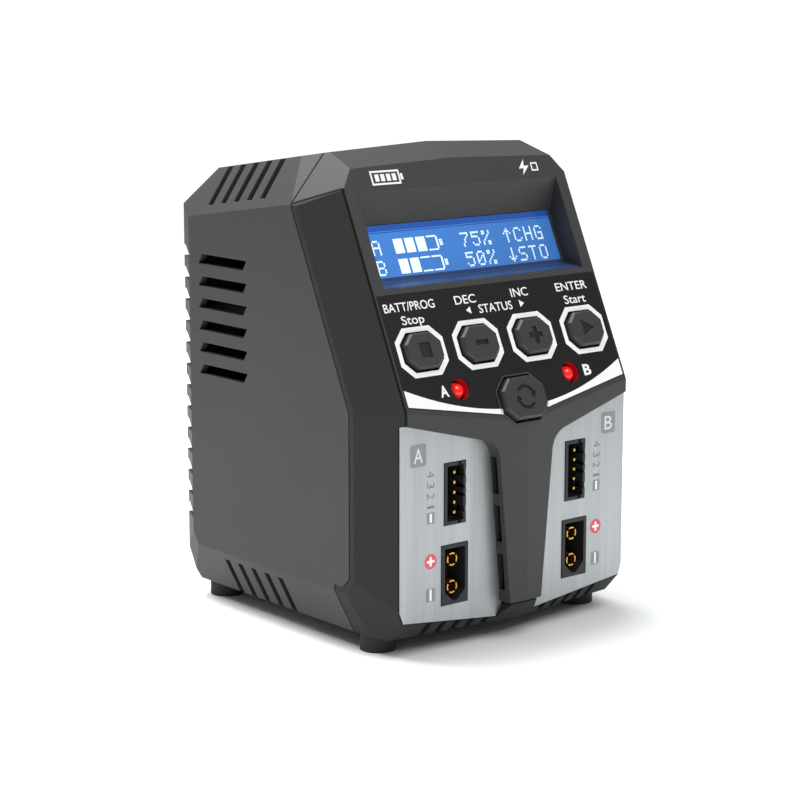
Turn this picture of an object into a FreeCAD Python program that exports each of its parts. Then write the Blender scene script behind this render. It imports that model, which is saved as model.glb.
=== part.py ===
import FreeCAD, Part
import math
import os
import Sketcher
from FreeCAD import Placement, Rotation, Vector

# Balance battery charger with two output channels, in millimetres.
# +X is to the right of a person who reads the display, -Y is the front, +Z is up. The origin lies on the
# surface that the charger stands on, under the middle of its casing.
# The casing is a faceted box with a sloped front: a rear casing and a front frame meet at a seam down each
# side, and a fascia with the display and the keys is set in the front frame over two metal channel plates.

doc = FreeCAD.newDocument("balance_charger")
sheet = doc.addObject("Spreadsheet::Sheet", "Sizes")

SIZES = (
    # casing
    ("body_width", 89.5), ("body_depth", 95.0), ("body_height", 128.3), ("foot_height", 4.5),
    ("wall", 2.2), ("seam_gap", 0.4), ("lip_length", 3.0), ("lip_wall", 1.2), ("lip_clearance", 0.15),
    # the sloped front and the blunt prow under it
    ("slope_angle", 24.93), ("brow_height", 58.5), ("prow_return", 2.9), ("prow_foot", 10.2),
    ("plate_setback", 4.6), ("prow_chamfer_rise", 5.5), ("prow_chamfer_run", 5.1),
    # the cheeks beside the bezel, and the strip of the front frame behind them
    ("cheek_width", 6.1), ("cheek_fall", 13.1), ("cheek_run", 13.7), ("seam_strip", 1.7),
    ("seam_foot_height", 20.0), ("seam_foot_step", 6.1), ("seam_foot_notch", 2.6), ("seam_foot_lip", 1.7),
    # the roof, the shoulders beside it and the visor in front of it
    ("shoulder_width", 8.9), ("shoulder_drop", 14.2), ("roof_fall", 0.148), ("roof_crown", 1.5),
    ("visor_drop", 3.7), ("visor_depth", 10.9), ("visor_corner", 1.1), ("bezel_corner", 3.8),
    ("bezel_corner_drop", 5.9),
    # the facets at the rear and along the base
    ("rear_corner_width", 3.0), ("rear_corner_depth", 6.5), ("rear_top_drop", 18.1), ("rear_top_depth", 8.7),
    ("base_chamfer_width", 4.3), ("base_chamfer_height", 11.3), ("rear_base_rise", 15.0),
    ("rear_foot_rise", 8.7), ("rear_foot_depth", 4.0),
    # air slots
    ("slot_pitch", 6.05), ("side_slot_length", 20.4), ("side_slot_height", 2.7), ("side_slot_slant", 1.8),
    ("side_slot_drop", 33.4), ("side_slot_rear", 11.0), ("shoulder_slot_width", 2.4),
    ("shoulder_slot_rear", 13.4), ("base_slot_width", 2.2), ("base_slot_rear", 20.4),
    ("base_slot_slant", 2.3),
    ("prow_slot_width", 1.9), ("prow_slot_pitch", 4.75), ("prow_slot_first", 10.3), ("prow_slot_rise", 0.1),
    ("louvre_height", 3.1), ("louvre_taper", 1.9), ("louvre_depth", 1.3),
    # channel plates
    ("plate_thickness", 0.8), ("plate_wall", 1.6), ("plate_clearance", 0.15), ("plate_margin", 5.3),
    ("plate_foot", 13.2), ("plate_corner", 1.0), ("plate_corner_rise", 3.2), ("plate_inner_foot", 6.1),
    ("plate_inner_cut", 2.6),
    ("band_outer_height", 61.1), ("band_rise", 0.26), ("spine_foot_half", 5.7), ("spine_flare", 0.096),
    ("spine_corner_radius", 6.0), ("spine_wall", 1.6), ("vent_width", 2.2), ("vent_height", 9.9),
    ("vent_pitch", 13.1), ("vent_first_height", 18.6),
    # sockets
    ("socket_spacing", 42.6), ("header_centre_height", 41.7), ("header_width", 7.2), ("header_length", 16.3),
    ("header_wall", 0.9), ("header_pitch", 2.62), ("header_pin", 0.66),
    ("output_centre_height", 20.4), ("output_width", 8.9), ("output_length", 15.9), ("socket_depth", 8.6),
    ("output_wall", 1.0), ("output_corner", 2.6), ("contact_pitch", 7.3), ("contact_radius", 1.75),
    ("contact_wall", 0.4), ("socket_clearance", 0.1), ("socket_stand_out", 0.25),
    ("header_floor", 1.6), ("header_slot_depth", 3.4), ("header_pin_sink", 0.9),
    ("header_pin_offset", 0.4), ("pin_tail", 3.0),
    ("output_floor", 1.8), ("contact_sink", 1.2), ("contact_slit", 0.5), ("output_post_half", 31.0),
    # display
    ("display_row_low", 39.1), ("display_row_high", 65.5), ("display_width", 69.8), ("display_depth", 6.2),
    ("display_ledge", 3.4), ("display_ramp", 7.4), ("window_width", 68.0), ("window_thickness", 1.5),
    ("lcd_thickness", 2.8), ("lcd_bezel_thickness", 0.6), ("board_thickness", 1.6), ("display_lip", 3.0),
    ("tub_wall", 1.5), ("lcd_board_margin", 8.0), ("lcd_post_spacing", 68.0), ("post_inset", 2.5),
    ("post_radius", 2.2), ("post_engagement", 4.0),
    # keypad
    ("key_row", 22.04), ("key_pitch", 18.96), ("key_width", 11.8), ("key_height", 9.4), ("key_corner", 2.7),
    ("key_rise", 1.7), ("key_bevel", 0.5), ("key_clearance", 0.55), ("key_flange", 1.0), ("key_travel", 0.5),
    ("key_flange_thickness", 0.9), ("key_room", 2.0), ("key_play", 0.1), ("key_bevel_height", 0.6),
    ("symbol_size", 4.7), ("symbol_arm", 1.4), ("cycle_ring_radius", 2.9), ("cycle_ring_width", 0.95),
    ("cycle_row", 6.1), ("cycle_width", 14.6), ("cycle_height", 11.2),
    ("cycle_corner", 3.2), ("symbol_depth", 0.4), ("overlay_thickness", 0.3), ("overlay_width", 75.7),
    ("overlay_top", 37.5), ("overlay_side_foot", 8.2), ("overlay_foot", 1.2), ("plunger_radius", 1.75),
    ("plunger_height", 1.5), ("switch_size", 6.0), ("switch_height", 3.5), ("stem_length", 1.0),
    ("plunger_guide", 1.5), ("plunger_clearance", 0.05), ("key_board_low", 4.0), ("key_board_high", 34.0),
    ("key_board_margin", 6.2), ("key_post_low_half", 29.5),
    ("led_row", 11.1), ("led_spacing", 38.8), ("led_radius", 2.15), ("led_cup_radius", 2.9),
    ("led_rise", -0.3),
    # boards and what stands on them
    ("output_board_width", 68.0), ("output_board_foot", 11.0), ("output_board_top", 55.0),
    ("power_board_width", 66.0), ("power_board_length", 62.0), ("power_board_height", 12.0),
    ("power_board_rear", 42.0), ("standoff_radius", 3.0), ("standoff_inset", 4.0), ("screw_radius", 1.3),
    ("screw_head_radius", 2.6), ("screw_head_height", 1.6), ("transformer_width", 26.0),
    ("transformer_length", 22.0), ("transformer_height", 21.0), ("core_leg", 5.0), ("capacitor_radius", 6.5),
    ("capacitor_height", 24.0), ("choke_radius", 6.0), ("choke_height", 7.0), ("choke_bore", 2.6),
    ("heatsink_length", 30.0), ("heatsink_height", 20.0), ("heatsink_base", 2.0), ("fin_depth", 6.0),
    ("fin_thickness", 1.0), ("fin_count", 6),
    ("transformer_place_x", -17.0), ("transformer_place_y", -7.0), ("capacitor_place_x", 20.0),
    ("capacitor_place_y", -4.0), ("choke_place_x", 2.0), ("choke_place_y", 22.0),
    ("heatsink_place_x", -26.0), ("heatsink_place_y", 19.5), ("transistor_depth", 4.5),
    ("transistor_width", 9.0), ("transistor_height", 14.0),
    # fan
    ("fan_size", 50.0), ("fan_depth", 15.0), ("fan_height", 76.0), ("fan_bore_radius", 24.0),
    ("fan_tip_clearance", 0.8), ("fan_hub_radius", 11.0), ("fan_blade_thickness", 1.2), ("blade_count", 7),
    ("fan_hole_pitch", 40.0), ("fan_spoke_width", 3.0), ("fan_spoke_depth", 2.0), ("fan_running_gap", 0.6),
    ("fan_shaft_radius", 1.5), ("shaft_clearance", 0.05),
    ("fan_bearing_length", 8.0), ("fan_screw_sink", 1.6), ("fan_blade_angle", 40.0),
    # mains inlet
    ("inlet_width", 21.0), ("inlet_height", 12.4), ("inlet_depth", 17.0), ("inlet_flange", 2.4),
    ("inlet_flange_thickness", 1.2), ("inlet_cavity_depth", 11.5), ("inlet_wall", 1.6),
    ("inlet_pin_pitch", 8.4), ("inlet_pin_radius", 1.2), ("inlet_centre_height", 30.0),
    ("inlet_lobe_radius", 4.3),
    # casing screws and feet
    ("tie_inset", 6.75), ("tie_low", 24.0), ("tie_high", 80.6), ("tie_post_radius", 3.3),
    ("tie_screw_radius", 1.45), ("tie_bore_clearance", 0.2), ("tie_joint", -14.0),
    ("tie_engagement", 8.0), ("foot_radius", 4.7), ("foot_front_half", 35.6), ("foot_rear_half", 34.5),
    ("foot_front_inset", 18.3), ("foot_rear_inset", 8.0), ("foot_plug_radius", 1.6),
    ("label_width", 46.0), ("label_length", 30.0), ("label_thickness", 0.2),
)

for row, (alias, number) in enumerate(SIZES, 1):
    sheet.set(f"A{row}", alias)
    sheet.set(f"B{row}", str(number))
    sheet.setAlias(f"B{row}", alias)
doc.recompute()


class Size:
    """A size that knows both its number and the sheet expression that a property is bound to."""

    def __init__(self, number, text):
        self.number = number
        self.text = text

    def __float__(self):
        return self.number

    def __add__(self, other):
        other = as_size(other)
        return Size(self.number + other.number, f"({self.text} + {other.text})")

    def __sub__(self, other):
        other = as_size(other)
        return Size(self.number - other.number, f"({self.text} - {other.text})")

    def __mul__(self, other):
        other = as_size(other)
        return Size(self.number * other.number, f"({self.text} * {other.text})")

    def __truediv__(self, other):
        other = as_size(other)
        return Size(self.number / other.number, f"({self.text} / {other.text})")

    def __radd__(self, other):
        return as_size(other) + self

    def __rsub__(self, other):
        return as_size(other) - self

    def __rmul__(self, other):
        return as_size(other) * self

    def __neg__(self):
        return Size(-self.number, f"(-{self.text})")


def as_size(value):
    return value if isinstance(value, Size) else Size(float(value), f"({float(value)})")


class Sheet:
    """S.wall is the Size of the sheet's cell with the alias wall."""

    def __getattr__(self, alias):
        return Size(float(sheet.get(alias)), f"Sizes.{alias}")


S = Sheet()
HALF = S.body_width / 2
FRONT = -S.body_depth / 2
REAR = S.body_depth / 2
PLATE_Y = FRONT + S.plate_setback
BEZEL_HALF = HALF - S.cheek_width
SLOPE_COS = math.cos(math.radians(float(S.slope_angle)))
SLOPE_SIN = math.sin(math.radians(float(S.slope_angle)))
SLOPE_RUN = SLOPE_SIN / SLOPE_COS
FAR = 400.0


# ---------------------------------------------------------------- faceted shells, with Part's own functions
def at(x, y, z):
    return Vector(float(x), float(y), float(z))


def on_slope(x, up, out=0.0):
    """A point on the sloped front: up the slope from the brow, and out from its face."""
    x, up, out = float(x), float(up), float(out)
    y = float(FRONT) + up * SLOPE_SIN - out * SLOPE_COS
    z = float(S.brow_height) + up * SLOPE_COS + out * SLOPE_SIN
    return Vector(x, y, z)


def prism(points, along):
    """The solid that a flat outline sweeps along a vector."""
    return Part.Face(Part.makePolygon(list(points) + [points[0]])).extrude(along)


def side_prism(outline, half=FAR):
    """An outline of (y, z) points, swept across the whole width."""
    return prism([at(-half, y, z) for y, z in outline], Vector(2 * half, 0, 0))


def front_prism(outline, y_front, y_rear):
    """An outline of (x, z) points, swept from the front to the rear."""
    length = Vector(0, float(y_rear) - float(y_front), 0)
    return prism([at(x, y_front, z) for x, z in outline], length)


def slope_prism(outline, out_low, out_high):
    """An outline of (x, up) points on the slope, swept along its outward normal."""
    low = [on_slope(x, up, out_low) for x, up in outline]
    return prism(low, on_slope(0, 0, out_high) - on_slope(0, 0, out_low))


def block(x_low, x_high, y_low, y_high, z_low, z_high):
    lengths = (float(x_high) - float(x_low), float(y_high) - float(y_low), float(z_high) - float(z_low))
    return Part.makeBox(*lengths, at(x_low, y_low, z_low))


def rod(radius, start, end):
    return Part.makeCylinder(float(radius), (end - start).Length, start, end - start)


MIDDLE = Vector(0, 0, float(S.body_height) / 2)
SHOULDER_Z = S.body_height - S.shoulder_drop
TOP_FRONT = at(0, FRONT + (S.body_height - S.visor_drop - S.brow_height) * SLOPE_RUN,
               S.body_height - S.visor_drop)
BEZEL_CORNER_Z = TOP_FRONT.z - float(S.bezel_corner_drop)
ROOF_FRONT_Y = TOP_FRONT.y + float(S.visor_depth)
CREASE_Y = FRONT + S.prow_return + S.cheek_run
SEAM_Y = CREASE_Y + S.seam_strip
# up the slope, the crease runs parallel to the bezel, cheek_fall behind it
SEAM_SHIFT = float(S.cheek_fall) / SLOPE_COS + float(S.seam_strip)
SEAM_TURN = float(S.brow_height) + (float(SEAM_Y) - float(FRONT) - SEAM_SHIFT) / SLOPE_RUN
SEAM_TOP_Y = float(FRONT) + (float(SHOULDER_Z) - float(S.brow_height)) * SLOPE_RUN + SEAM_SHIFT


def roof_height(x, y):
    """The roof is crowned a little across the width, and falls to the rear from behind the visor."""
    crown = float(S.roof_crown) * abs(float(x)) / float(HALF - S.shoulder_width)
    return float(S.body_height) - crown - float(S.roof_fall) * (float(y) - ROOF_FRONT_Y)


def plane_through(a, b, c):
    """A point and the outward normal of the plane through three points of the casing."""
    normal = (b - a).cross(c - a)
    normal.normalize()
    if (MIDDLE - a).dot(normal) > 0:
        normal = -normal
    return a, normal


def casing_facets():
    """Every face of the casing's outside, as a point and an outward normal."""
    half, bezel, front, rear = float(HALF), float(BEZEL_HALF), float(FRONT), float(REAR)
    foot = float(S.foot_height)
    up = Vector(0, 0, 1)
    prow_edge = at(bezel, front + float(S.prow_return), 0)
    crease = at(half, CREASE_Y, 0)
    slope_edge = on_slope(bezel, 0)
    cheek_crease = on_slope(half, 0, -float(S.cheek_fall))
    shoulder = at(half, SEAM_TOP_Y, SHOULDER_Z)
    roof_edge_x = half - float(S.shoulder_width)
    fall = Vector(0, 1, -float(S.roof_fall))
    roof_edge = at(roof_edge_x, 0, roof_height(roof_edge_x, 0))
    corner_x = bezel - float(S.bezel_corner)
    corner_z = TOP_FRONT.z - float(S.visor_corner)
    visor_corner = at(corner_x, TOP_FRONT.y - float(S.visor_corner) * SLOPE_RUN, corner_z)
    bezel_corner = at(bezel, front + (BEZEL_CORNER_Z - float(S.brow_height)) * SLOPE_RUN, BEZEL_CORNER_Z)
    roof_rear_y = rear - float(S.rear_top_depth)
    roof_rear = at(roof_edge_x, roof_rear_y, roof_height(roof_edge_x, roof_rear_y))
    rear_x = half - float(S.rear_corner_width)
    rear_high = at(rear_x, rear, float(S.body_height) - float(S.rear_top_drop))
    side_rear_y = rear - float(S.rear_corner_depth)
    shoulder_rear = shoulder + fall * (roof_rear_y - shoulder.y)
    base_x = half - float(S.base_chamfer_width)
    base_top = foot + float(S.base_chamfer_height)
    plate_y = float(PLATE_Y)
    prow_corner = at(bezel, plate_y, foot + float(S.prow_chamfer_rise))
    prow_low = at(bezel, plate_y + float(S.prow_chamfer_run), foot)
    cheek_foot = at(half, CREASE_Y, foot + float(S.rear_base_rise))
    rear_foot = at(rear_x, rear, foot + float(S.rear_foot_rise))
    one_side = [
        (at(half, 0, 0), Vector(1, 0, 0)),
        plane_through(at(0, front, 0), at(0, front, 50), prow_edge),
        plane_through(prow_edge, prow_edge + up, crease),
        plane_through(slope_edge, on_slope(bezel, 50), cheek_crease),
        plane_through(at(0, 0, roof_height(0, 0)), at(0, 0, roof_height(0, 0)) + fall, roof_edge),
        plane_through(shoulder, shoulder + fall, roof_edge),
        plane_through(TOP_FRONT, visor_corner, at(0, ROOF_FRONT_Y, S.body_height)),
        plane_through(visor_corner, bezel_corner, shoulder),
        plane_through(at(half, side_rear_y, 0), at(half, side_rear_y, 50), at(rear_x, rear, 0)),
        plane_through(roof_rear, shoulder_rear, rear_high),
        plane_through(at(half, 0, base_top), at(half, 50, base_top), at(base_x, 0, foot)),
        plane_through(at(0, front, S.prow_foot), prow_corner, prow_low),
        plane_through(cheek_foot, at(HALF - S.plate_margin, plate_y, S.plate_foot), prow_low),
        plane_through(at(half, side_rear_y, foot + float(S.rear_base_rise)),
                      at(half, side_rear_y - 2.4, base_top), rear_foot),
    ]
    other_side = []
    for point, normal in one_side:
        other_side.append((Vector(-point.x, point.y, point.z), Vector(-normal.x, normal.y, normal.z)))
    across = [
        (on_slope(0, 0), Vector(0, -SLOPE_COS, SLOPE_SIN)),
        (at(0, rear, 0), Vector(0, 1, 0)),
        (at(0, 0, foot), Vector(0, 0, -1)),
        plane_through(roof_rear, roof_rear + Vector(9, 0, 0), rear_high),
        plane_through(rear_foot, rear_foot + Vector(9, 0, 0), at(0, REAR - S.rear_foot_depth, foot)),
    ]
    return one_side + other_side + across


FACETS = casing_facets()


def beyond(point, normal):
    """The space on the outer side of a plane."""
    outside = Part.makeBox(2 * FAR, 2 * FAR, FAR, Vector(-FAR, -FAR, 0))
    outside.Placement = Placement(point, Rotation(Vector(0, 0, 1), normal))
    return outside


def envelope(inset):
    """The casing's outer form, with every face moved inwards by inset."""
    inset = float(inset)
    form = block(-HALF, HALF, FRONT, REAR, 0, S.body_height + 20)
    for point, normal in FACETS:
        form = form.cut(beyond(point - normal * inset, normal))
    return form


def front_zone(shift=0.0):
    """The space in front of the seam that runs down each side of the casing."""
    shift = float(shift)
    top = float(S.body_height) + 20
    step_y = float(SEAM_Y) + float(S.seam_foot_step)
    foot_z = float(S.seam_foot_height)
    notch, lip = float(S.seam_foot_notch), float(S.seam_foot_lip)
    seam = [
        (SEAM_TOP_Y, top), (SEAM_TOP_Y, float(SHOULDER_Z)), (float(SEAM_Y), SEAM_TURN),
        (float(SEAM_Y), foot_z), (float(SEAM_Y) + notch, foot_z - notch), (step_y, foot_z - notch),
        (step_y, foot_z - notch - lip), (step_y - notch, float(S.foot_height)), (step_y - notch, -10.0),
    ]
    outline = [(y + shift, z) for y, z in seam]
    return side_prism(outline + [(-FAR, -10.0), (-FAR, top)])


def band_height(x):
    """The lower edge of the band across the prow, at a distance x from the middle."""
    return S.band_outer_height - S.band_rise * (BEZEL_HALF - x)


def spine_half(z, margin=0.0):
    """Half the width of the spine between the channel plates."""
    return S.spine_foot_half + S.spine_flare * (z - S.prow_foot) + margin


def spine_corner():
    """Where the band's lower edge meets the side of the spine."""
    z = (band_height(0) + S.band_rise * spine_half(0)) / (1 - S.band_rise * S.spine_flare)
    return float(spine_half(z)), float(z)


def fascia_zone(gap=0.0):
    """The space of the fascia seen from the front: the visor, the bezel, the band and the spine."""
    gap = float(gap)
    bezel = float(BEZEL_HALF) + gap
    half = float(HALF)
    edge = BEZEL_CORNER_Z - gap
    drop = (BEZEL_CORNER_Z - float(SHOULDER_Z)) / float(S.cheek_width)
    corner_x, corner_z = spine_corner()
    foot = S.prow_foot - gap
    right = [
        (half + 20, float(S.body_height) + 20), (half + 20, edge - drop * (half + 20 - bezel)),
        (bezel, edge), (bezel, band_height(bezel) - gap), (corner_x + gap, corner_z - gap),
        (spine_half(foot, gap), foot),
    ]
    left = [(-x, z) for x, z in reversed(right)]
    zone = front_prism(right + left, -FAR, FAR / 2)
    corners = []
    for edge_line in zone.Edges:
        point = edge_line.Vertexes[0].Point
        if abs(point.z - corner_z + gap) < 0.01 and abs(abs(point.x) - corner_x - gap) < 0.01:
            if abs(edge_line.Vertexes[1].Point.z - point.z) < 0.01:
                corners.append(edge_line)
    return zone.makeFillet(float(S.spine_corner_radius), corners)


OUTER = envelope(0)
INNER = envelope(S.wall)
LIP_FREE = envelope(S.wall + S.lip_clearance)
LIP_INNER = envelope(S.wall + S.lip_clearance + S.lip_wall)
FRONT_ZONE = front_zone()


def plate_outline(margin=0.0):
    """The right-hand channel plate as (x, z) points; its inner and upper edges are tucked under the fascia."""
    tuck = 1.0
    outer = HALF - S.plate_margin + margin
    cut_x = outer - S.plate_corner
    inner_low = spine_half(S.plate_inner_foot) - tuck - margin
    inner_foot = S.plate_inner_foot - margin
    rise = (S.plate_foot - S.plate_corner_rise - S.plate_inner_foot) / (cut_x - inner_low)
    top = band_height(0) + 3 + margin
    return [
        (inner_low, S.prow_foot), (inner_low + S.plate_inner_cut, inner_foot + rise * S.plate_inner_cut),
        (cut_x, inner_foot + rise * (cut_x - inner_low)),
        (outer, S.plate_foot - margin), (outer, S.band_outer_height + margin),
        (BEZEL_HALF - tuck + margin, S.band_outer_height + margin),
        (BEZEL_HALF - tuck + margin, S.band_outer_height + 2 + margin),
        (spine_half(top) - tuck - margin, top),
    ]


def socket_openings(side, margin):
    """The two socket openings of one channel as blocks through the plate and the wall behind it."""
    centre = float(S.socket_spacing) / 2 * side
    margin = float(margin)
    openings = []
    for width, length, height in (
        (S.header_width, S.header_length, S.header_centre_height),
        (S.output_width, S.output_length, S.output_centre_height),
    ):
        half_w, half_l = float(width) / 2 + margin, float(length) / 2 + margin
        z = float(height)
        across = (centre - half_w, centre + half_w)
        openings.append(block(*across, PLATE_Y - 6, PLATE_Y + 6, z - half_l, z + half_l))
    return openings


def slot_cutters():
    """Air slots in the rear casing: the sides, the shoulders, the base chamfers, and louvres at the rear."""
    cutters = []
    half, rear = float(HALF), float(REAR)
    pitch = float(S.slot_pitch)
    side_rear = rear - float(S.side_slot_rear)
    length, height, slant = float(S.side_slot_length), float(S.side_slot_height), float(S.side_slot_slant)
    for i in range(6):
        low = float(S.body_height) - float(S.side_slot_drop) - i * pitch
        outline = [(side_rear, low), (side_rear - slant, low + height),
                   (side_rear - slant - length, low + height), (side_rear - length, low)]
        for side in (-1, 1):
            start = half - 5 if side > 0 else -half - 5
            cutters.append(prism([at(start, y, z) for y, z in outline], Vector(10, 0, 0)))
    for i in range(5):
        y_high = rear - float(S.shoulder_slot_rear) - i * pitch * 0.975
        y_low = y_high - float(S.shoulder_slot_width)
        z_low = float(SHOULDER_Z) - float(S.roof_fall) * (y_high - SEAM_TOP_Y) + 2.6
        x_roof = half - float(S.shoulder_width) - 3.0
        for side in (-1, 1):
            wall_x = side * (half + 2)
            outline = [(wall_x, z_low), (wall_x, z_low + 40), (side * x_roof, z_low + 40),
                       (side * x_roof, roof_height(x_roof, y_low) - 8), (side * (half - 6), z_low)]
            cutters.append(front_prism(outline, y_low, y_high))
        y_base = rear - float(S.base_slot_rear) - i * pitch
        y_front = y_base - float(S.base_slot_width)
        slant_base = float(S.base_slot_slant)
        z_top = float(S.foot_height) + float(S.base_chamfer_height) - 2.0
        low_z = float(S.foot_height) - 1.0
        for side in (-1, 1):
            outline = [(y_base, z_top), (y_front, z_top), (y_front - slant_base, low_z),
                       (y_base - slant_base, low_z)]
            start = half - 7.5 if side > 0 else -half - 1.5
            cutters.append(prism([at(start, y, z) for y, z in outline], Vector(9.0, 0, 0)))
    return cutters


def louvres():
    """Grooves that run round the rear corners, and through slots between them in front of the fan."""
    cutters = []
    rear, half = float(REAR), float(HALF)
    height = float(S.louvre_height)
    shell = OUTER.cut(envelope(S.louvre_depth))
    top = float(S.body_height) - float(S.side_slot_drop) + 1.0
    for i in range(13):
        low = top - i * float(S.slot_pitch)
        if low > float(S.inlet_centre_height) + float(S.inlet_height) / 2 + float(S.inlet_flange) + 2:
            start = -half - 1
            spans = [(start, half + 1)]
        else:
            reach = float(S.inlet_width) / 2 + float(S.inlet_flange) + 8
            spans = [(-half - 1, -reach), (reach, half + 1)]
        for x_low, x_high in spans:
            outline = [(rear + 1, low), (rear + 1, low + height), (rear - 2, low + height),
                       (rear - float(S.rear_corner_depth) - 0.2, low + height - float(S.louvre_taper)),
                       (rear - float(S.rear_corner_depth) - 0.2, low)]
            groove = prism([at(x_low, y, z) for y, z in outline], Vector(x_high - x_low, 0, 0))
            cutters.append(groove.common(shell))
        distance = abs(low + height / 2 - float(S.fan_height))
        bore = float(S.fan_bore_radius) - 1.0
        if distance < bore - 2:
            reach = math.sqrt(bore ** 2 - distance ** 2)
            for x_low, x_high in ((-reach, -1.2), (1.2, reach)):
                cutters.append(block(x_low, x_high, rear - 6, rear + 1, low, low + height))
    return cutters


def tie_places():
    half = float(HALF - S.tie_inset)
    return [(side * half, float(z)) for z in (S.tie_low, S.tie_high) for side in (-1, 1)]


def tie_post(x, z, y_front, y_rear):
    """A screw post with a web that joins it to the side wall."""
    side = 1 if x > 0 else -1
    post = rod(S.tie_post_radius, at(x, y_front, z), at(x, y_rear, z))
    wall_x = side * (float(HALF) - float(S.wall) / 2)
    web = block(min(x, wall_x), max(x, wall_x), y_front, y_rear, z - 1.0, z + 1.0)
    return post.fuse(web)


def board_standoff_places():
    half = float(S.power_board_width) / 2 - float(S.standoff_inset)
    rear = float(S.power_board_rear) - float(S.standoff_inset)
    front = float(S.power_board_rear) - float(S.power_board_length) + float(S.standoff_inset)
    return [(x, y) for x in (-half, half) for y in (front, rear)]


def octagon(centre_x, centre_y, width, height, corner, margin=0.0):
    """An octagon's points: a rectangle with its corners cut at an angle."""
    w, h = width / 2 + margin, height / 2 + margin
    cut = corner + margin * 0.6
    return [
        (centre_x - w + cut, centre_y - h), (centre_x + w - cut, centre_y - h),
        (centre_x + w, centre_y - h + cut), (centre_x + w, centre_y + h - cut),
        (centre_x + w - cut, centre_y + h), (centre_x - w + cut, centre_y + h),
        (centre_x - w, centre_y + h - cut), (centre_x - w, centre_y - h + cut),
    ]


def inlet_block(margin=0.0):
    """The mains inlet's oblong outline with cut corners, wider by margin on every side."""
    corner = S.inlet_height * 0.28
    return octagon(as_size(0), S.inlet_centre_height, S.inlet_width, S.inlet_height, corner, margin)


def feature(label, shape):
    """A sub-part whose shape comes from Part's functions."""
    made = doc.addObject("Part::Feature", label)
    made.Label = label
    made.Shape = shape.removeSplitter()
    NODES.append(made)
    return made


NODES = []


def foot_places():
    front = float(FRONT) + float(S.foot_front_inset)
    rear = float(REAR) - float(S.foot_rear_inset)
    spots = []
    for side in (-1, 1):
        spots.append((side * float(S.foot_front_half), front))
        spots.append((side * float(S.foot_rear_half), rear))
    return spots


def foot_holes():
    top = S.foot_height + S.wall + 1
    return [rod(S.foot_plug_radius, at(x, y, 0), at(x, y, top)) for x, y in foot_places()]


# The rear casing: roof, sides, back and most of the base in one moulding, with screw posts and standoffs.
def make_rear_casing():
    shell = OUTER.cut(INNER).cut(front_zone(S.seam_gap))
    posts = [tie_post(x, z, S.tie_joint, REAR - S.wall / 2) for x, z in tie_places()]
    for x, y in board_standoff_places():
        foot = at(x, y, S.foot_height + S.wall / 2)
        posts.append(rod(S.standoff_radius, foot, at(x, y, S.power_board_height)))
    shell = shell.fuse([post.common(OUTER) for post in posts])
    bore = S.tie_screw_radius + S.tie_bore_clearance
    holes = [rod(bore, at(x, -FAR, z), at(x, FAR, z)) for x, z in tie_places()]
    sunk = REAR - S.screw_head_height - 0.8
    holes += [rod(S.screw_head_radius + 0.3, at(x, sunk, z), at(x, FAR, z)) for x, z in tie_places()]
    holes += [rod(S.screw_radius, at(x, y, S.foot_height + S.wall), at(x, y, S.power_board_height + 1))
              for x, y in board_standoff_places()]
    fan_half = float(S.fan_hole_pitch) / 2
    for x in (-fan_half, fan_half):
        for z in (float(S.fan_height) - fan_half, float(S.fan_height) + fan_half):
            holes.append(rod(S.screw_radius + 0.2, at(x, REAR - 9, z), at(x, REAR + 9, z)))
            head_low = at(x, REAR - S.fan_screw_sink, z)
            holes.append(rod(S.screw_head_radius + 0.3, head_low, at(x, REAR + 9, z)))
    holes.append(front_prism(inlet_block(S.socket_clearance), 0, FAR))
    flange_y = REAR - S.inlet_flange_thickness
    holes.append(front_prism(inlet_block(S.inlet_flange + S.socket_clearance), flange_y, FAR))
    return shell.cut(slot_cutters() + louvres() + holes + foot_holes())


feature("rear_casing", make_rear_casing())


# The locating lip that closes the seam from inside.
def seam_lip():
    inside = INNER.cut(LIP_INNER).common(front_zone()).cut(front_zone(-1.5))
    behind = LIP_FREE.cut(LIP_INNER).common(front_zone(S.lip_length)).cut(front_zone())
    posts = [rod(S.tie_post_radius + 0.4, at(x, -FAR, z), at(x, FAR, z)) for x, z in tie_places()]
    webs = []
    for x, z in tie_places():
        side = 1 if x > 0 else -1
        low, high = sorted((x, side * float(HALF)))
        webs.append(block(low, high, S.tie_joint - 0.4, FAR, z - 1.4, z + 1.4))
    rear_posts = [post.common(block(-FAR, FAR, S.tie_joint - 0.4, FAR, 0, FAR)) for post in posts]
    return inside.fuse(behind).cut(rear_posts + webs)


LIP = seam_lip()
PLATE_ROOM_Y = PLATE_Y + S.plate_thickness
OUTPUT_POSTS = [(side * S.output_post_half, z) for side in (-1, 1)
                for z in (S.output_board_foot + S.post_inset, S.output_board_top - S.post_inset)]


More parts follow.
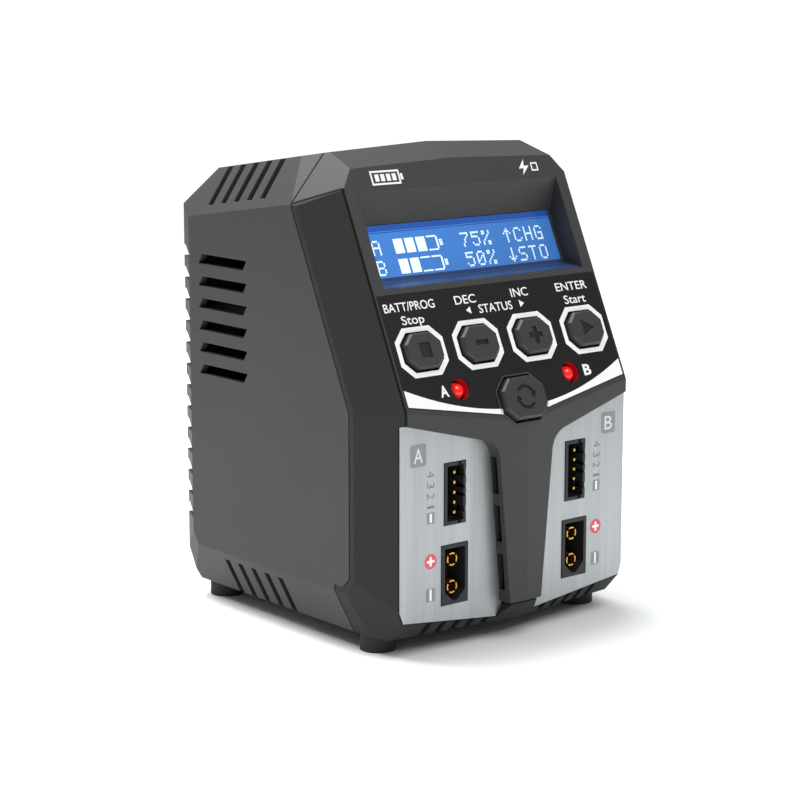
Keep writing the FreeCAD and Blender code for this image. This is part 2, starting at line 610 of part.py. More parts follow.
# The front frame: both cheeks, the strips beside the seam, the wall behind the plates and the prow's base.
def make_front_frame():
    shell = OUTER.cut(INNER).common(FRONT_ZONE)
    wall_top = float(S.band_outer_height) + 3.0
    wall_room = block(-FAR, FAR, PLATE_ROOM_Y, PLATE_ROOM_Y + S.plate_wall, 0, wall_top)
    shell = shell.fuse([OUTER.common(wall_room), LIP.cut(fascia_zone(0.2))])
    zone = fascia_zone(S.seam_gap / 2)
    upper = zone.common(block(-FAR, FAR, -FAR, FAR, band_height(0) - 2, FAR)).cut(wall_room)
    spine = zone.common(block(-FAR, FAR, -FAR, PLATE_ROOM_Y, 0, FAR))
    recess = [front_prism([(side * x, z) for x, z in plate_outline(S.plate_clearance)], -FAR, PLATE_ROOM_Y)
              for side in (-1, 1)]
    shell = shell.cut([upper, spine] + recess)
    fascia_wall = zone.cut(envelope(S.wall + S.key_room)).cut(wall_room)
    posts = []
    for x, z in tie_places():
        start = PLATE_ROOM_Y + 0.5 if z < float(S.band_outer_height) else FRONT
        post = rod(S.tie_post_radius, at(x, start, z), at(x, S.tie_joint, z))
        posts.append(post.common(OUTER).cut(fascia_wall))
    for x, z in OUTPUT_POSTS:
        posts.append(rod(S.post_radius, at(x, PLATE_ROOM_Y + 1, z), at(x, PLATE_Y + S.socket_depth, z)))
    tie_end = S.tie_joint - S.tie_engagement
    cuts = [rod(S.tie_screw_radius, at(x, tie_end, z), at(x, FAR, z)) for x, z in tie_places()]
    bore_y = PLATE_Y + S.socket_depth - S.post_engagement - 0.5
    cuts += [rod(S.screw_radius, at(x, bore_y, z), at(x, 0, z)) for x, z in OUTPUT_POSTS]
    notch_half, notch_foot = S.cycle_width / 2 + 2.5, S.brow_height - 3
    cuts.append(block(-notch_half, notch_half, PLATE_ROOM_Y - 0.1, FAR, notch_foot, FAR))
    for side in (-1, 1):
        cuts += socket_openings(side, S.socket_clearance)
        for i in range(5):
            x = side * (float(S.prow_slot_first) + i * float(S.prow_slot_pitch))
            width = float(S.prow_slot_width) / 2
            top = S.plate_inner_foot + S.prow_slot_rise * abs(x)
            cuts.append(block(x - width, x + width, PLATE_Y - 1.0, PLATE_Y + S.prow_chamfer_run, 0, top))
    return shell.fuse(posts).cut(cuts + foot_holes())


feature("front_frame", make_front_frame())


# The fascia: visor, bezel with the display recess and key holes, band and spine with its vents.
KEYS = (
    ("stop", S.key_pitch * -1.5, S.key_row, S.key_width, S.key_height, S.key_corner),
    ("minus", S.key_pitch * -0.5, S.key_row, S.key_width, S.key_height, S.key_corner),
    ("plus", S.key_pitch * 0.5, S.key_row, S.key_width, S.key_height, S.key_corner),
    ("start", S.key_pitch * 1.5, S.key_row, S.key_width, S.key_height, S.key_corner),
    ("cycle", as_size(0), S.cycle_row, S.cycle_width, S.cycle_height, S.cycle_corner),
)


def display_section(grow=0.0):
    """The recess over the display, in (up, out) points: a ledge below, a ramp above."""
    low, high, deep = float(S.display_row_low), float(S.display_row_high), float(S.display_depth)
    return [(low - grow, 5.0), (low - grow, 0.0), (low + float(S.display_ledge) - grow, -deep - grow),
            (high - float(S.display_ramp) + grow, -deep - grow), (high + grow, 0.0), (high + grow, 5.0)]


def across_slope(section, half):
    points = [on_slope(-float(half), up, out) for up, out in section]
    return prism(points, Vector(2 * float(half), 0, 0))


SCREEN_LOW = S.display_row_low + S.display_ledge
SCREEN_HIGH = S.display_row_high - S.display_ramp


def overlay_outline(margin=0.0):
    half = S.overlay_width / 2 + margin
    side_foot = S.overlay_side_foot - margin
    top = S.overlay_top + margin
    return [(-half, top), (-half, side_foot), (0, S.overlay_foot - margin), (half, side_foot), (half, top)]


LCD_BOARD_LOW = SCREEN_LOW - S.lcd_board_margin
LCD_BOARD_HIGH = SCREEN_HIGH + S.lcd_board_margin
LCD_POSTS = [(side * S.lcd_post_spacing / 2, up) for side in (-1, 1)
             for up in (LCD_BOARD_LOW + S.post_inset, LCD_BOARD_HIGH - S.post_inset)]
KEY_POST_ROWS = ((S.key_post_low_half, S.led_row), (S.led_spacing / 2, S.key_board_high - S.post_inset))
KEY_POSTS = [(side * x, up) for side in (-1, 1) for x, up in KEY_POST_ROWS]

# the layers behind the slope, as distances out from its face
BEZEL_TOP = -S.display_depth - S.tub_wall
PANEL_TOP = BEZEL_TOP - S.lcd_bezel_thickness
LCD_BOARD_TOP = PANEL_TOP - S.lcd_thickness
FLANGE_TOP = -S.wall - S.key_play
FLANGE_LOW = FLANGE_TOP - S.key_flange_thickness
STEM_LOW = FLANGE_LOW - S.stem_length
SWITCH_TOP = STEM_LOW - S.plunger_height
KEY_BOARD_TOP = SWITCH_TOP - S.switch_height


def make_fascia():
    zone = fascia_zone(-S.seam_gap / 2)
    shell = OUTER.cut(INNER).common(FRONT_ZONE).common(zone)
    spine_top = band_height(0) + 4
    spine = OUTER.common(zone.common(block(-FAR, FAR, -FAR, PLATE_ROOM_Y, 0, spine_top)))
    room = [(-x, z) for x, z in ((spine_half(12, -S.spine_wall), 12), (spine_half(48, -S.spine_wall), 48))]
    room = room + [(-x, z) for x, z in reversed(room)]
    spine = spine.cut(front_prism(room, FRONT + S.spine_wall + S.prow_return / 2, FAR))
    section = [(up, min(out, 0.0)) for up, out in display_section(float(S.tub_wall))]
    tub = across_slope(section[1:-1], S.display_width / 2 + S.tub_wall).common(OUTER)
    behind_plates = block(-FAR, FAR, PLATE_ROOM_Y, FAR, -FAR, S.band_outer_height + 3.4)
    lip = LIP.common(fascia_zone(-0.2))
    shell = shell.fuse([lip, tub]).cut(behind_plates)
    posts, cuts = [], []
    for places, top in ((LCD_POSTS, LCD_BOARD_TOP), (KEY_POSTS, KEY_BOARD_TOP)):
        for x, up in places:
            posts.append(rod(S.post_radius, on_slope(x, up, -1), on_slope(x, up, top)))
            bore_end = on_slope(x, up, top + S.post_engagement + 0.5)
            cuts.append(rod(S.screw_radius, on_slope(x, up, top - 1), bore_end))
    shell = shell.fuse([spine] + posts)
    cuts.append(across_slope(display_section(), S.display_width / 2))
    screen_half = S.window_width / 2
    screen = [(-screen_half, SCREEN_LOW), (screen_half, SCREEN_LOW), (screen_half, SCREEN_HIGH),
              (-screen_half, SCREEN_HIGH)]
    cuts.append(slope_prism(screen, BEZEL_TOP - 0.1, 0))
    for name, *outline in KEYS:
        cuts.append(slope_prism(octagon(*outline, S.key_clearance), -6, 12))
        flange_room = octagon(*outline, S.key_flange + S.overlay_thickness)
        cuts.append(slope_prism(flange_room, -S.wall - S.key_room, -S.wall))
    for side in (-1, 1):
        centre = S.led_spacing / 2 * side
        cuts.append(rod(S.led_cup_radius, on_slope(centre, S.led_row, -6), on_slope(centre, S.led_row, 9)))
        outline = [(side * x, z) for x, z in plate_outline(S.plate_clearance)]
        cuts.append(front_prism(outline, PLATE_Y - 0.05, PLATE_ROOM_Y + 1))
        for i in range(3):
            z = S.vent_first_height + i * S.vent_pitch
            low, high = sorted((side * 3.0, side * 20.0))
            vent_y = PLATE_Y - 0.25
            upright = (z - S.vent_height / 2, z + S.vent_height / 2)
            cuts.append(block(low, high, vent_y - S.vent_width, vent_y, *upright))
    cuts.append(slope_prism(overlay_outline(0.1), -S.overlay_thickness, 5))
    return shell.cut(cuts)


feature("fascia", make_fascia())


# ---------------------------------------------------------------- pieces made of sketches, pads and pockets
def body(label, frame="flat"):
    """A body whose sketches lie on the ground plan, on the front's elevation, or on the slope."""
    made = doc.addObject("PartDesign::Body", label)
    made.Label = label
    made.AllowCompound = True
    if frame == "front":
        made.Placement = Placement(Vector(), Rotation(Vector(1, 0, 0), 90))
    if frame == "slope":
        made.Placement = Placement(Vector(), Rotation(Vector(1, 0, 0), 65))
        made.setExpression("Placement.Rotation.Angle", "90 - Sizes.slope_angle")
        made.setExpression("Placement.Base.y", FRONT.text)
        made.setExpression("Placement.Base.z", S.brow_height.text)
    NODES.append(made)
    return made


def bind(sketch, kind, vertex, size):
    """Ties one coordinate of a vertex, or a radius, to the sheet."""
    size = as_size(size)
    if kind == "Radius":
        row = sketch.addConstraint(Sketcher.Constraint(kind, vertex[0], size.number))
    else:
        row = sketch.addConstraint(Sketcher.Constraint(kind, -1, 1, *vertex, size.number))
    sketch.setExpression(f"Constraints[{row}]", size.text)


def sketch_of(owner, loops, height):
    """A sketch at a height over the body's own plane: a list of points is a polygon, (x, y, radius) a circle."""
    sketch = owner.newObject("Sketcher::SketchObject", owner.Label + "_outline")
    plane = [part for part in owner.Origin.OriginFeatures if part.Role == "XY_Plane"][0]
    sketch.AttachmentSupport = [(plane, "")]
    sketch.MapMode = "FlatFace"
    sketch.setExpression("AttachmentOffset.Base.z", as_size(height).text)
    for loop in loops:
        first = sketch.GeometryCount
        if isinstance(loop, tuple):
            x, y, radius = loop
            centre = Vector(float(x), float(y), 0)
            sketch.addGeometry(Part.Circle(centre, Vector(0, 0, 1), float(radius)))
            bind(sketch, "DistanceX", (first, 3), x)
            bind(sketch, "DistanceY", (first, 3), y)
            bind(sketch, "Radius", (first,), radius)
            continue
        points = [Vector(float(x), float(y), 0) for x, y in loop]
        count = len(points)
        for i in range(count):
            sketch.addGeometry(Part.LineSegment(points[i], points[(i + 1) % count]))
        for i in range(count):
            sketch.addConstraint(Sketcher.Constraint("Coincident", first + i, 2, first + (i + 1) % count, 1))
            bind(sketch, "DistanceX", (first + i, 1), loop[i][0])
            bind(sketch, "DistanceY", (first + i, 1), loop[i][1])
    return sketch


def pad(owner, loops, low, high):
    """Adds the outline from one height to another."""
    made = owner.newObject("PartDesign::Pad", owner.Label + "_pad")
    made.Profile = sketch_of(owner, loops, low)
    made.setExpression("Length", (as_size(high) - low).text)
    return made


def pocket(owner, loops, low, high):
    """Cuts the outline away between two heights."""
    made = owner.newObject("PartDesign::Pocket", owner.Label + "_pocket")
    made.Profile = sketch_of(owner, loops, high)
    made.setExpression("Length", (as_size(high) - low).text)
    return made


def loft(owner, loop_low, low, loop_high, high):
    """Adds a tapered block between two outlines."""
    made = owner.newObject("PartDesign::AdditiveLoft", owner.Label + "_taper")
    made.Profile = sketch_of(owner, [loop_low], low)
    made.Sections = [sketch_of(owner, [loop_high], high)]
    made.Ruled = True
    return made


def fillet(owner, radius, wanted):
    """Rounds the edges that wanted picks out, in the body's own coordinates."""
    doc.recompute()
    base = owner.Tip
    names = [f"Edge{i}" for i, edge in enumerate(base.Shape.Edges, 1) if wanted(edge)]
    made = owner.newObject("PartDesign::Fillet", owner.Label + "_fillet")
    made.Base = (base, names)
    made.setExpression("Radius", as_size(radius).text)
    return made


def at_height(height):
    """Picks the edges that lie at one height."""
    height = float(height)
    return lambda edge: max(abs(edge.BoundBox.ZMax - height), abs(edge.BoundBox.ZMin - height)) < 0.01


def rectangle(x_low, x_high, y_low, y_high):
    return [(x_low, y_low), (x_high, y_low), (x_high, y_high), (x_low, y_high)]


def centred(x, y, width, length):
    x, y, width, length = as_size(x), as_size(y), as_size(width), as_size(length)
    return rectangle(x - width / 2, x + width / 2, y - length / 2, y + length / 2)


# The printed keypad overlay, let into the fascia.
overlay = body("keypad_overlay", "slope")
holes = [octagon(*key[1:], S.key_clearance) for key in KEYS[:4]]
holes += [(S.led_spacing * side / 2, S.led_row, S.led_cup_radius) for side in (-1, 1)]
pad(overlay, [overlay_outline()] + holes, -S.overlay_thickness, 0)
cycle_hole = octagon(*KEYS[4][1:], S.key_clearance)
pocket(overlay, [cycle_hole], -S.overlay_thickness * 2, 1)

# The display: a clear window in the recess, then the liquid crystal panel in its metal bezel, on a board.
window = body("display_window", "slope")
edge = S.socket_clearance
window_half = S.window_width / 2 - edge
window_loop = rectangle(-window_half, window_half, SCREEN_LOW + edge, SCREEN_HIGH - edge)
pad(window, [window_loop], -S.display_depth - S.window_thickness, -S.display_depth)


def around_screen(margin):
    """A rectangle that stands out from the screen by margin on every side."""
    half = S.window_width / 2 + margin
    return rectangle(-half, half, SCREEN_LOW - margin, SCREEN_HIGH + margin)


bezel = body("lcd_bezel", "slope")
pad(bezel, [around_screen(S.display_lip), around_screen(-0.5)], PANEL_TOP, BEZEL_TOP)
panel = body("lcd_panel", "slope")
pad(panel, [around_screen(S.display_lip - 0.6)], LCD_BOARD_TOP, PANEL_TOP)
lcd_board = body("lcd_board", "slope")
lcd_half = S.window_width / 2 + S.display_lip
board_holes = [(x, up, S.screw_radius) for x, up in LCD_POSTS]
pad(lcd_board, [rectangle(-lcd_half, lcd_half, LCD_BOARD_LOW, LCD_BOARD_HIGH)] + board_holes,
    LCD_BOARD_TOP - S.board_thickness, LCD_BOARD_TOP)

# Five keys: bevelled octagonal caps with a flange that keeps them in, each over its own switch plunger.
def symbol_loops(name, x, up):
    """The sign let into the top of a key."""
    reach, arm = S.symbol_size / 2, S.symbol_arm / 2
    if name == "stop":
        return [centred(x, up, S.symbol_size * 0.76, S.symbol_size * 0.86)]
    if name == "minus":
        return [centred(x, up, S.symbol_size * 0.9, S.symbol_arm)]
    if name == "plus":
        return [[(x - reach, up - arm), (x - arm, up - arm), (x - arm, up - reach), (x + arm, up - reach),
                 (x + arm, up - arm), (x + reach, up - arm), (x + reach, up + arm), (x + arm, up + arm),
                 (x + arm, up + reach), (x - arm, up + reach), (x - arm, up + arm), (x - reach, up + arm)]]
    return [[(x - reach * 0.8, up - reach), (x + reach, up), (x - reach * 0.8, up + reach)]]


def turning_arrow(x, up, turn):
    """One of the two arrows that chase each other round a ring, as a band with a head."""
    ring, half, head = S.cycle_ring_radius, S.cycle_ring_width / 2, S.cycle_ring_width * 1.35
    bearings = [math.radians(degrees) + turn for degrees in (140, 115, 90, 65, 40, 18)]
    points = [(ring + half, bearing) for bearing in bearings]
    points += [(ring + head, bearings[-1]), (ring, bearings[-1] - 0.62), (ring - head, bearings[-1])]
    points += [(ring - half, bearing) for bearing in reversed(bearings)]
    return [(x + reach * math.cos(bearing), up + reach * math.sin(bearing)) for reach, bearing in points]


for name, x, up, width, height, corner in KEYS:
    key = body(f"{name}_button", "slope")
    shoulder_height = S.key_rise - S.key_bevel_height
    outline = octagon(x, up, width, height, corner)
    pad(key, [octagon(x, up, width, height, corner, S.key_flange)], FLANGE_LOW, FLANGE_TOP)
    pad(key, [outline], FLANGE_TOP, shoulder_height)
    loft(key, outline, shoulder_height, octagon(x, up, width, height, corner, -S.key_bevel), S.key_rise)
    pad(key, [(x, up, S.plunger_radius)], STEM_LOW, FLANGE_LOW)
    floor = S.key_rise - S.symbol_depth
    if name == "cycle":
        for turn in (0, math.pi):
            pocket(key, [turning_arrow(x, up, turn)], floor, S.key_rise + 1)
    else:
        pocket(key, symbol_loops(name, x, up), floor, S.key_rise + 1)

for name, x, up, width, height, corner in KEYS:
    plunger = body(f"{name}_plunger", "slope")
    pad(plunger, [(x, up, S.plunger_radius)], SWITCH_TOP - S.plunger_guide, STEM_LOW)

switches = body("key_switches", "slope")
housings = [centred(key[1], key[2], S.switch_size, S.switch_size) for key in KEYS]
pad(switches, housings, KEY_BOARD_TOP, SWITCH_TOP)
bore_floor = SWITCH_TOP - S.plunger_guide - S.key_travel - 0.3
pocket(switches, [(key[1], key[2], S.plunger_radius + S.plunger_clearance) for key in KEYS], bore_floor,
       SWITCH_TOP + 1)

key_board = body("key_board", "slope")
key_half = BEZEL_HALF - S.key_board_margin
key_board_holes = [(x, up, S.screw_radius) for x, up in KEY_POSTS]
pad(key_board, [rectangle(-key_half, key_half, S.key_board_low, S.key_board_high)] + key_board_holes,
    KEY_BOARD_TOP - S.board_thickness, KEY_BOARD_TOP)

# Screws that hold the two boards to the fascia's posts.
fascia_screws = body("fascia_screws", "slope")
for posts, top in ((LCD_POSTS, LCD_BOARD_TOP), (KEY_POSTS, KEY_BOARD_TOP)):
    under = top - S.board_thickness
    pad(fascia_screws, [(x, up, S.screw_head_radius) for x, up in posts], under - S.screw_head_height, under)
    pad(fascia_screws, [(x, up, S.screw_radius) for x, up in posts], under, top + S.post_engagement)

# Status lights: domed lenses on the key board.
for side, letter in ((-1, "a"), (1, "b")):
    led = body(f"status_led_{letter}", "slope")
    centre = side * S.led_spacing / 2
    pad(led, [(centre, S.led_row, S.led_radius + 0.5)], KEY_BOARD_TOP, KEY_BOARD_TOP + 1)
    pad(led, [(centre, S.led_row, S.led_radius)], KEY_BOARD_TOP + 1, S.led_rise)
    fillet(led, S.led_radius * 0.95, at_height(S.led_rise))

# Channel plates: brushed metal sheets behind the fascia, one for each channel.
PLATE_FACE = -PLATE_Y
SOCKET_BACK = PLATE_FACE - S.socket_depth
for side, letter in ((-1, "a"), (1, "b")):
    centre = side * S.socket_spacing / 2
    openings = [
        centred(centre, S.header_centre_height, S.header_width + edge * 2, S.header_length + edge * 2),
        centred(centre, S.output_centre_height, S.output_width + edge * 2, S.output_length + edge * 2),
    ]
    plate = body(f"channel_plate_{letter}", "front")
    pad(plate, [[(side * x, z) for x, z in plate_outline()]] + openings, PLATE_FACE - S.plate_thickness, PLATE_FACE)

    # The balance header: a keyed shroud round five square pins.
    header = body(f"balance_header_{letter}", "front")
    mouth = PLATE_FACE + S.socket_stand_out
    housing = centred(centre, S.header_centre_height, S.header_width, S.header_length)
    pad(header, [housing], SOCKET_BACK, mouth)
    inner_width = S.header_width - S.header_wall * 2
    inner_length = S.header_length - S.header_wall * 2
    pocket(header, [centred(centre, S.header_centre_height, inner_width, inner_length)],
           SOCKET_BACK + S.header_floor, mouth + 1)
    for reach, width in ((0.30, 1.9), (0.09, 1.0), (-0.05, 0.8), (-0.28, 1.6)):
        key_slot = centred(centre + S.header_width / 2, S.header_centre_height + reach * S.header_length,
                           S.header_wall * 2.4, width)
        pocket(header, [key_slot], mouth - S.header_slot_depth, mouth + 1)
    for end in (-0.5, 0.5):
        notch = centred(centre + S.header_width * 0.2, S.header_centre_height + end * S.header_length,
                        S.header_wall, S.header_wall * 2.2)
        pocket(header, [notch], mouth - S.header_slot_depth, mouth + 1)
    pins = body(f"balance_pins_{letter}", "front")
    rows = [S.header_centre_height + (i - 2) * S.header_pitch for i in range(5)]
    pin_x = centre + S.header_pin_offset
    pin_loops = [centred(pin_x, z, S.header_pin, S.header_pin) for z in rows]
    pocket(header, pin_loops, SOCKET_BACK - 1, SOCKET_BACK + S.header_floor + 1)
    pad(pins, pin_loops, SOCKET_BACK - S.pin_tail, mouth - S.header_pin_sink)

    # The output socket: a shroud with one chamfered end round two slit tube contacts.
    socket = body(f"output_socket_{letter}", "front")
    z = S.output_centre_height
    pad(socket, [centred(centre, z, S.output_width, S.output_length)], SOCKET_BACK, mouth)
    half_w, half_l = S.output_width / 2 - S.output_wall, S.output_length / 2 - S.output_wall
    cut_w, cut_z = half_w - S.output_corner, z - half_l + S.output_corner
    cavity = [(centre - half_w, z + half_l), (centre + half_w, z + half_l), (centre + half_w, cut_z),
              (centre + cut_w, z - half_l), (centre - cut_w, z - half_l), (centre - half_w, cut_z)]
    pocket(socket, [cavity], SOCKET_BACK + S.output_floor, mouth + 1)
    contact_rows = [z - S.contact_pitch / 2, z + S.contact_pitch / 2]
    pocket(socket, [(centre, row, S.contact_radius) for row in contact_rows], SOCKET_BACK - 1,
           SOCKET_BACK + S.output_floor + 1)
    contacts = body(f"output_contacts_{letter}", "front")
    pad(contacts, [(centre, row, S.contact_radius) for row in contact_rows], SOCKET_BACK - S.pin_tail,
        mouth - S.contact_sink)
    bore_radius = S.contact_radius - S.contact_wall
    pocket(contacts, [(centre, row, bore_radius) for row in contact_rows], SOCKET_BACK + 1, mouth)
    slits = []
    wide = S.contact_radius * 0.9 + S.contact_slit / 2
    near = S.contact_radius * 0.9 - S.contact_slit / 2
    for row in contact_rows:
        slits.append([(centre - wide, row - near), (centre - near, row - wide),
                      (centre + wide, row + near), (centre + near, row + wide)])
    pocket(contacts, slits, SOCKET_BACK + S.output_floor, mouth)
    slits = [[(centre * 2 - x, up) for x, up in reversed(loop)] for loop in slits]
    pocket(contacts, slits, SOCKET_BACK + S.output_floor, mouth)

# The output board carries all four sockets, behind the front frame's wall.
output_board = body("output_board", "front")
half_board = S.output_board_width / 2
tails = [(x, z, S.screw_radius) for x, z in OUTPUT_POSTS]
for side in (-1, 1):
    centre = side * S.socket_spacing / 2
    tails += [centred(centre + S.header_pin_offset, z, S.header_pin, S.header_pin) for z in rows]
    tails += [(centre, row, S.contact_radius) for row in contact_rows]
pad(output_board, [rectangle(-half_board, half_board, S.output_board_foot, S.output_board_top)] + tails,
    SOCKET_BACK - S.board_thickness, SOCKET_BACK)

# The power board on its four standoffs, with the parts of the mains supply and of both charging circuits.
power_board = body("power_board")
BOARD_TOP = S.power_board_height + S.board_thickness
half_board = S.power_board_width / 2
board_front = S.power_board_rear - S.power_board_length
standoffs = [(x, y) for x in (S.standoff_inset - half_board, half_board - S.standoff_inset)
             for y in (board_front + S.standoff_inset, S.power_board_rear - S.standoff_inset)]
pad(power_board, [rectangle(-half_board, half_board, board_front, S.power_board_rear)]
    + [(x, y, S.screw_radius) for x, y in standoffs], S.power_board_height, BOARD_TOP)
board_screws = body("board_screws")
heads = [(x, y, S.screw_head_radius) for x, y in standoffs]
pad(board_screws, heads, BOARD_TOP, BOARD_TOP + S.screw_head_height)
pad(board_screws, [(x, y, S.screw_radius) for x, y in standoffs], S.foot_height + S.wall + 1, BOARD_TOP)

core_x, core_y = S.transformer_place_x, S.transformer_place_y
core_half, leg = S.transformer_width / 2, S.core_leg
core = body("transformer_core", "front")
low, high = BOARD_TOP + 0.5, BOARD_TOP + 0.5 + S.transformer_height
windows = [
    rectangle(core_x - core_half + leg, core_x - leg, low + leg, high - leg),
    rectangle(core_x + leg, core_x + core_half - leg, low + leg, high - leg),
]
core_depth = S.transformer_length * 0.55
pad(core, [rectangle(core_x - core_half, core_x + core_half, low, high)] + windows,
    -core_y - core_depth / 2, core_depth / 2 - core_y)
winding = body("transformer_winding")
pad(winding, [centred(core_x, core_y, S.transformer_width - leg * 2 - 0.4, S.transformer_length),
              centred(core_x, core_y, leg * 2, core_depth)], low + leg + 0.2, high - leg - 0.2)

capacitors = body("bulk_capacitors")
can_rows = [S.capacitor_place_y + i * (S.capacitor_radius * 2 + 1) for i in range(2)]
cans = [(S.capacitor_place_x, y, S.capacitor_radius) for y in can_rows]
pad(capacitors, cans, BOARD_TOP, BOARD_TOP + S.capacitor_height)
fillet(capacitors, S.capacitor_radius * 0.15, at_height(BOARD_TOP + S.capacitor_height))

chokes = body("output_chokes")
choke_places = [(S.choke_place_x + side * (S.choke_radius + 1), S.choke_place_y) for side in (-1, 1)]
pad(chokes, [(x, y, S.choke_radius) for x, y in choke_places], BOARD_TOP, BOARD_TOP + S.choke_height)
pocket(chokes, [(x, y, S.choke_bore) for x, y in choke_places], BOARD_TOP - 1, BOARD_TOP + S.choke_height + 1)

heatsink = body("heatsink")
sink_x, sink_low = S.heatsink_place_x, S.heatsink_place_y - S.heatsink_length / 2
sink_high = sink_low + S.heatsink_length
sink_base = rectangle(sink_x, sink_x + S.heatsink_base, sink_low, sink_high)
pad(heatsink, [sink_base], BOARD_TOP, BOARD_TOP + S.heatsink_height)
fin_pitch = (S.heatsink_length - S.fin_thickness) / (S.fin_count - 1)
fin_rows = [sink_low + i * fin_pitch for i in range(int(float(S.fin_count)))]
fins = [rectangle(sink_x - S.fin_depth, sink_x, y, y + S.fin_thickness) for y in fin_rows]
pad(heatsink, fins, BOARD_TOP, BOARD_TOP + S.heatsink_height)

transistors = body("power_transistors")
face = sink_x + S.heatsink_base
places = [sink_low + S.heatsink_length * (0.5 + i) / 3 for i in range(3)]
middle = face + S.transistor_depth / 2
packages = [centred(middle, y, S.transistor_depth, S.transistor_width) for y in places]
pad(transistors, packages, BOARD_TOP + 3, BOARD_TOP + 3 + S.transistor_height)

# The fan blows out through the rear wall.
FAN_BACK = -(REAR - S.wall)
FAN_FACE = FAN_BACK + S.fan_depth
fan_frame = body("fan_frame", "front")
fan_z = S.fan_height
fan_square = octagon(as_size(0), fan_z, S.fan_size, S.fan_size, S.screw_head_radius)
pad(fan_frame, [fan_square], FAN_BACK, FAN_FACE)
pocket(fan_frame, [(0, fan_z, S.fan_bore_radius)], FAN_BACK - 1, FAN_FACE + 1)
hole_reach = S.fan_hole_pitch / 2
fan_corners = [(sx * hole_reach, fan_z + sz * hole_reach) for sx in (-1, 1) for sz in (-1, 1)]
pocket(fan_frame, [(x, z, S.screw_radius) for x, z in fan_corners], FAN_BACK - 1, FAN_BACK + S.fan_depth - 2)
spoke = S.fan_spoke_width / 2
spoke_low = FAN_FACE - S.fan_spoke_depth
pad(fan_frame, [rectangle(-S.fan_bore_radius - 0.5, S.fan_bore_radius + 0.5, fan_z - spoke, fan_z + spoke)],
    spoke_low, FAN_FACE)
pad(fan_frame, [rectangle(-spoke, spoke, fan_z - S.fan_bore_radius - 0.5, fan_z + S.fan_bore_radius + 0.5)],
    spoke_low, FAN_FACE)
pad(fan_frame, [(0, fan_z, S.fan_hub_radius)], spoke_low, FAN_FACE)
BEARING_BACK = spoke_low - S.fan_bearing_length
pad(fan_frame, [(0, fan_z, S.fan_shaft_radius + 1.5)], BEARING_BACK, spoke_low)
pocket(fan_frame, [(0, fan_z, S.fan_shaft_radius + S.shaft_clearance)], BEARING_BACK - 1, FAN_FACE - 0.8)


def make_fan_rotor():
    """A cup-shaped hub with pitched blades, on a shaft that runs in the frame's bearing."""
    centre = at(0, 0, S.fan_height)
    back = float(REAR - S.wall) - 1.2
    front = float(S.fan_running_gap - spoke_low)
    shell = 1.5
    rotor = rod(S.fan_hub_radius, centre + at(0, front, 0), centre + at(0, back, 0))
    inside = rod(S.fan_hub_radius - shell, centre + at(0, front - 1, 0), centre + at(0, back - shell, 0))
    shaft = rod(S.fan_shaft_radius, centre + at(0, 1.2 - FAN_FACE, 0), centre + at(0, back - 0.5, 0))
    rotor = rotor.cut(inside).fuse(shaft)
    tip = S.fan_bore_radius - S.fan_tip_clearance
    swept = rod(tip, centre + at(0, front + 0.4, 0), centre + at(0, back - 0.6, 0))
    swept = swept.cut(rod(S.fan_hub_radius - 0.4, centre + at(0, front - 1, 0), centre + at(0, back + 1, 0)))
    count = int(float(S.blade_count))
    thickness = float(S.fan_blade_thickness)
    reach, chord = float(tip) + 15, 30
    for i in range(count):
        blade = Part.makeBox(reach, chord, thickness, Vector(0, -chord / 2, -thickness / 2))
        blade.rotate(Vector(), Vector(1, 0, 0), float(S.fan_blade_angle))
        blade.rotate(Vector(), Vector(0, 1, 0), i * 360 / count + 7)
        blade.translate(centre + at(0, (front + back) / 2, 0))
        rotor = rotor.fuse(blade.common(swept))
    return rotor


feature("fan_rotor", make_fan_rotor())
fan_screws = body("fan_screws", "front")
head_seat = -REAR + S.fan_screw_sink
heads = [(x, z, S.screw_head_radius) for x, z in fan_corners]
pad(fan_screws, heads, head_seat - S.screw_head_height, head_seat)
pad(fan_screws, [(x, z, S.screw_radius) for x, z in fan_corners], head_seat, FAN_BACK + S.fan_depth / 2)

# The mains inlet: two pins in a figure-of-eight cavity, its flange let into the rear wall.
inlet = body("mains_inlet", "front")
inlet_z = S.inlet_centre_height
INLET_BACK = -REAR
pad(inlet, [inlet_block(S.inlet_flange)], INLET_BACK, INLET_BACK + S.inlet_flange_thickness)
pad(inlet, [inlet_block()], INLET_BACK + S.inlet_flange_thickness, INLET_BACK + S.inlet_depth)
lobes = [(side * S.inlet_pin_pitch / 2, inlet_z, S.inlet_lobe_radius) for side in (-1, 1)]
cavity_floor = INLET_BACK + S.inlet_cavity_depth
for lobe in lobes:
    pocket(inlet, [lobe], INLET_BACK - 1, cavity_floor)
neck = S.inlet_lobe_radius * 0.75
pocket(inlet, [centred(0, inlet_z, S.inlet_pin_pitch, neck * 2)], INLET_BACK - 1, cavity_floor)
pin_places = [(x, z, S.inlet_pin_radius) for x, z, radius in lobes]
pocket(inlet, pin_places, cavity_floor - 1, INLET_BACK + S.inlet_depth + 1)
inlet_pins = body("inlet_pins", "front")
pad(inlet_pins, pin_places, INLET_BACK + 2, INLET_BACK + S.inlet_depth + 4)

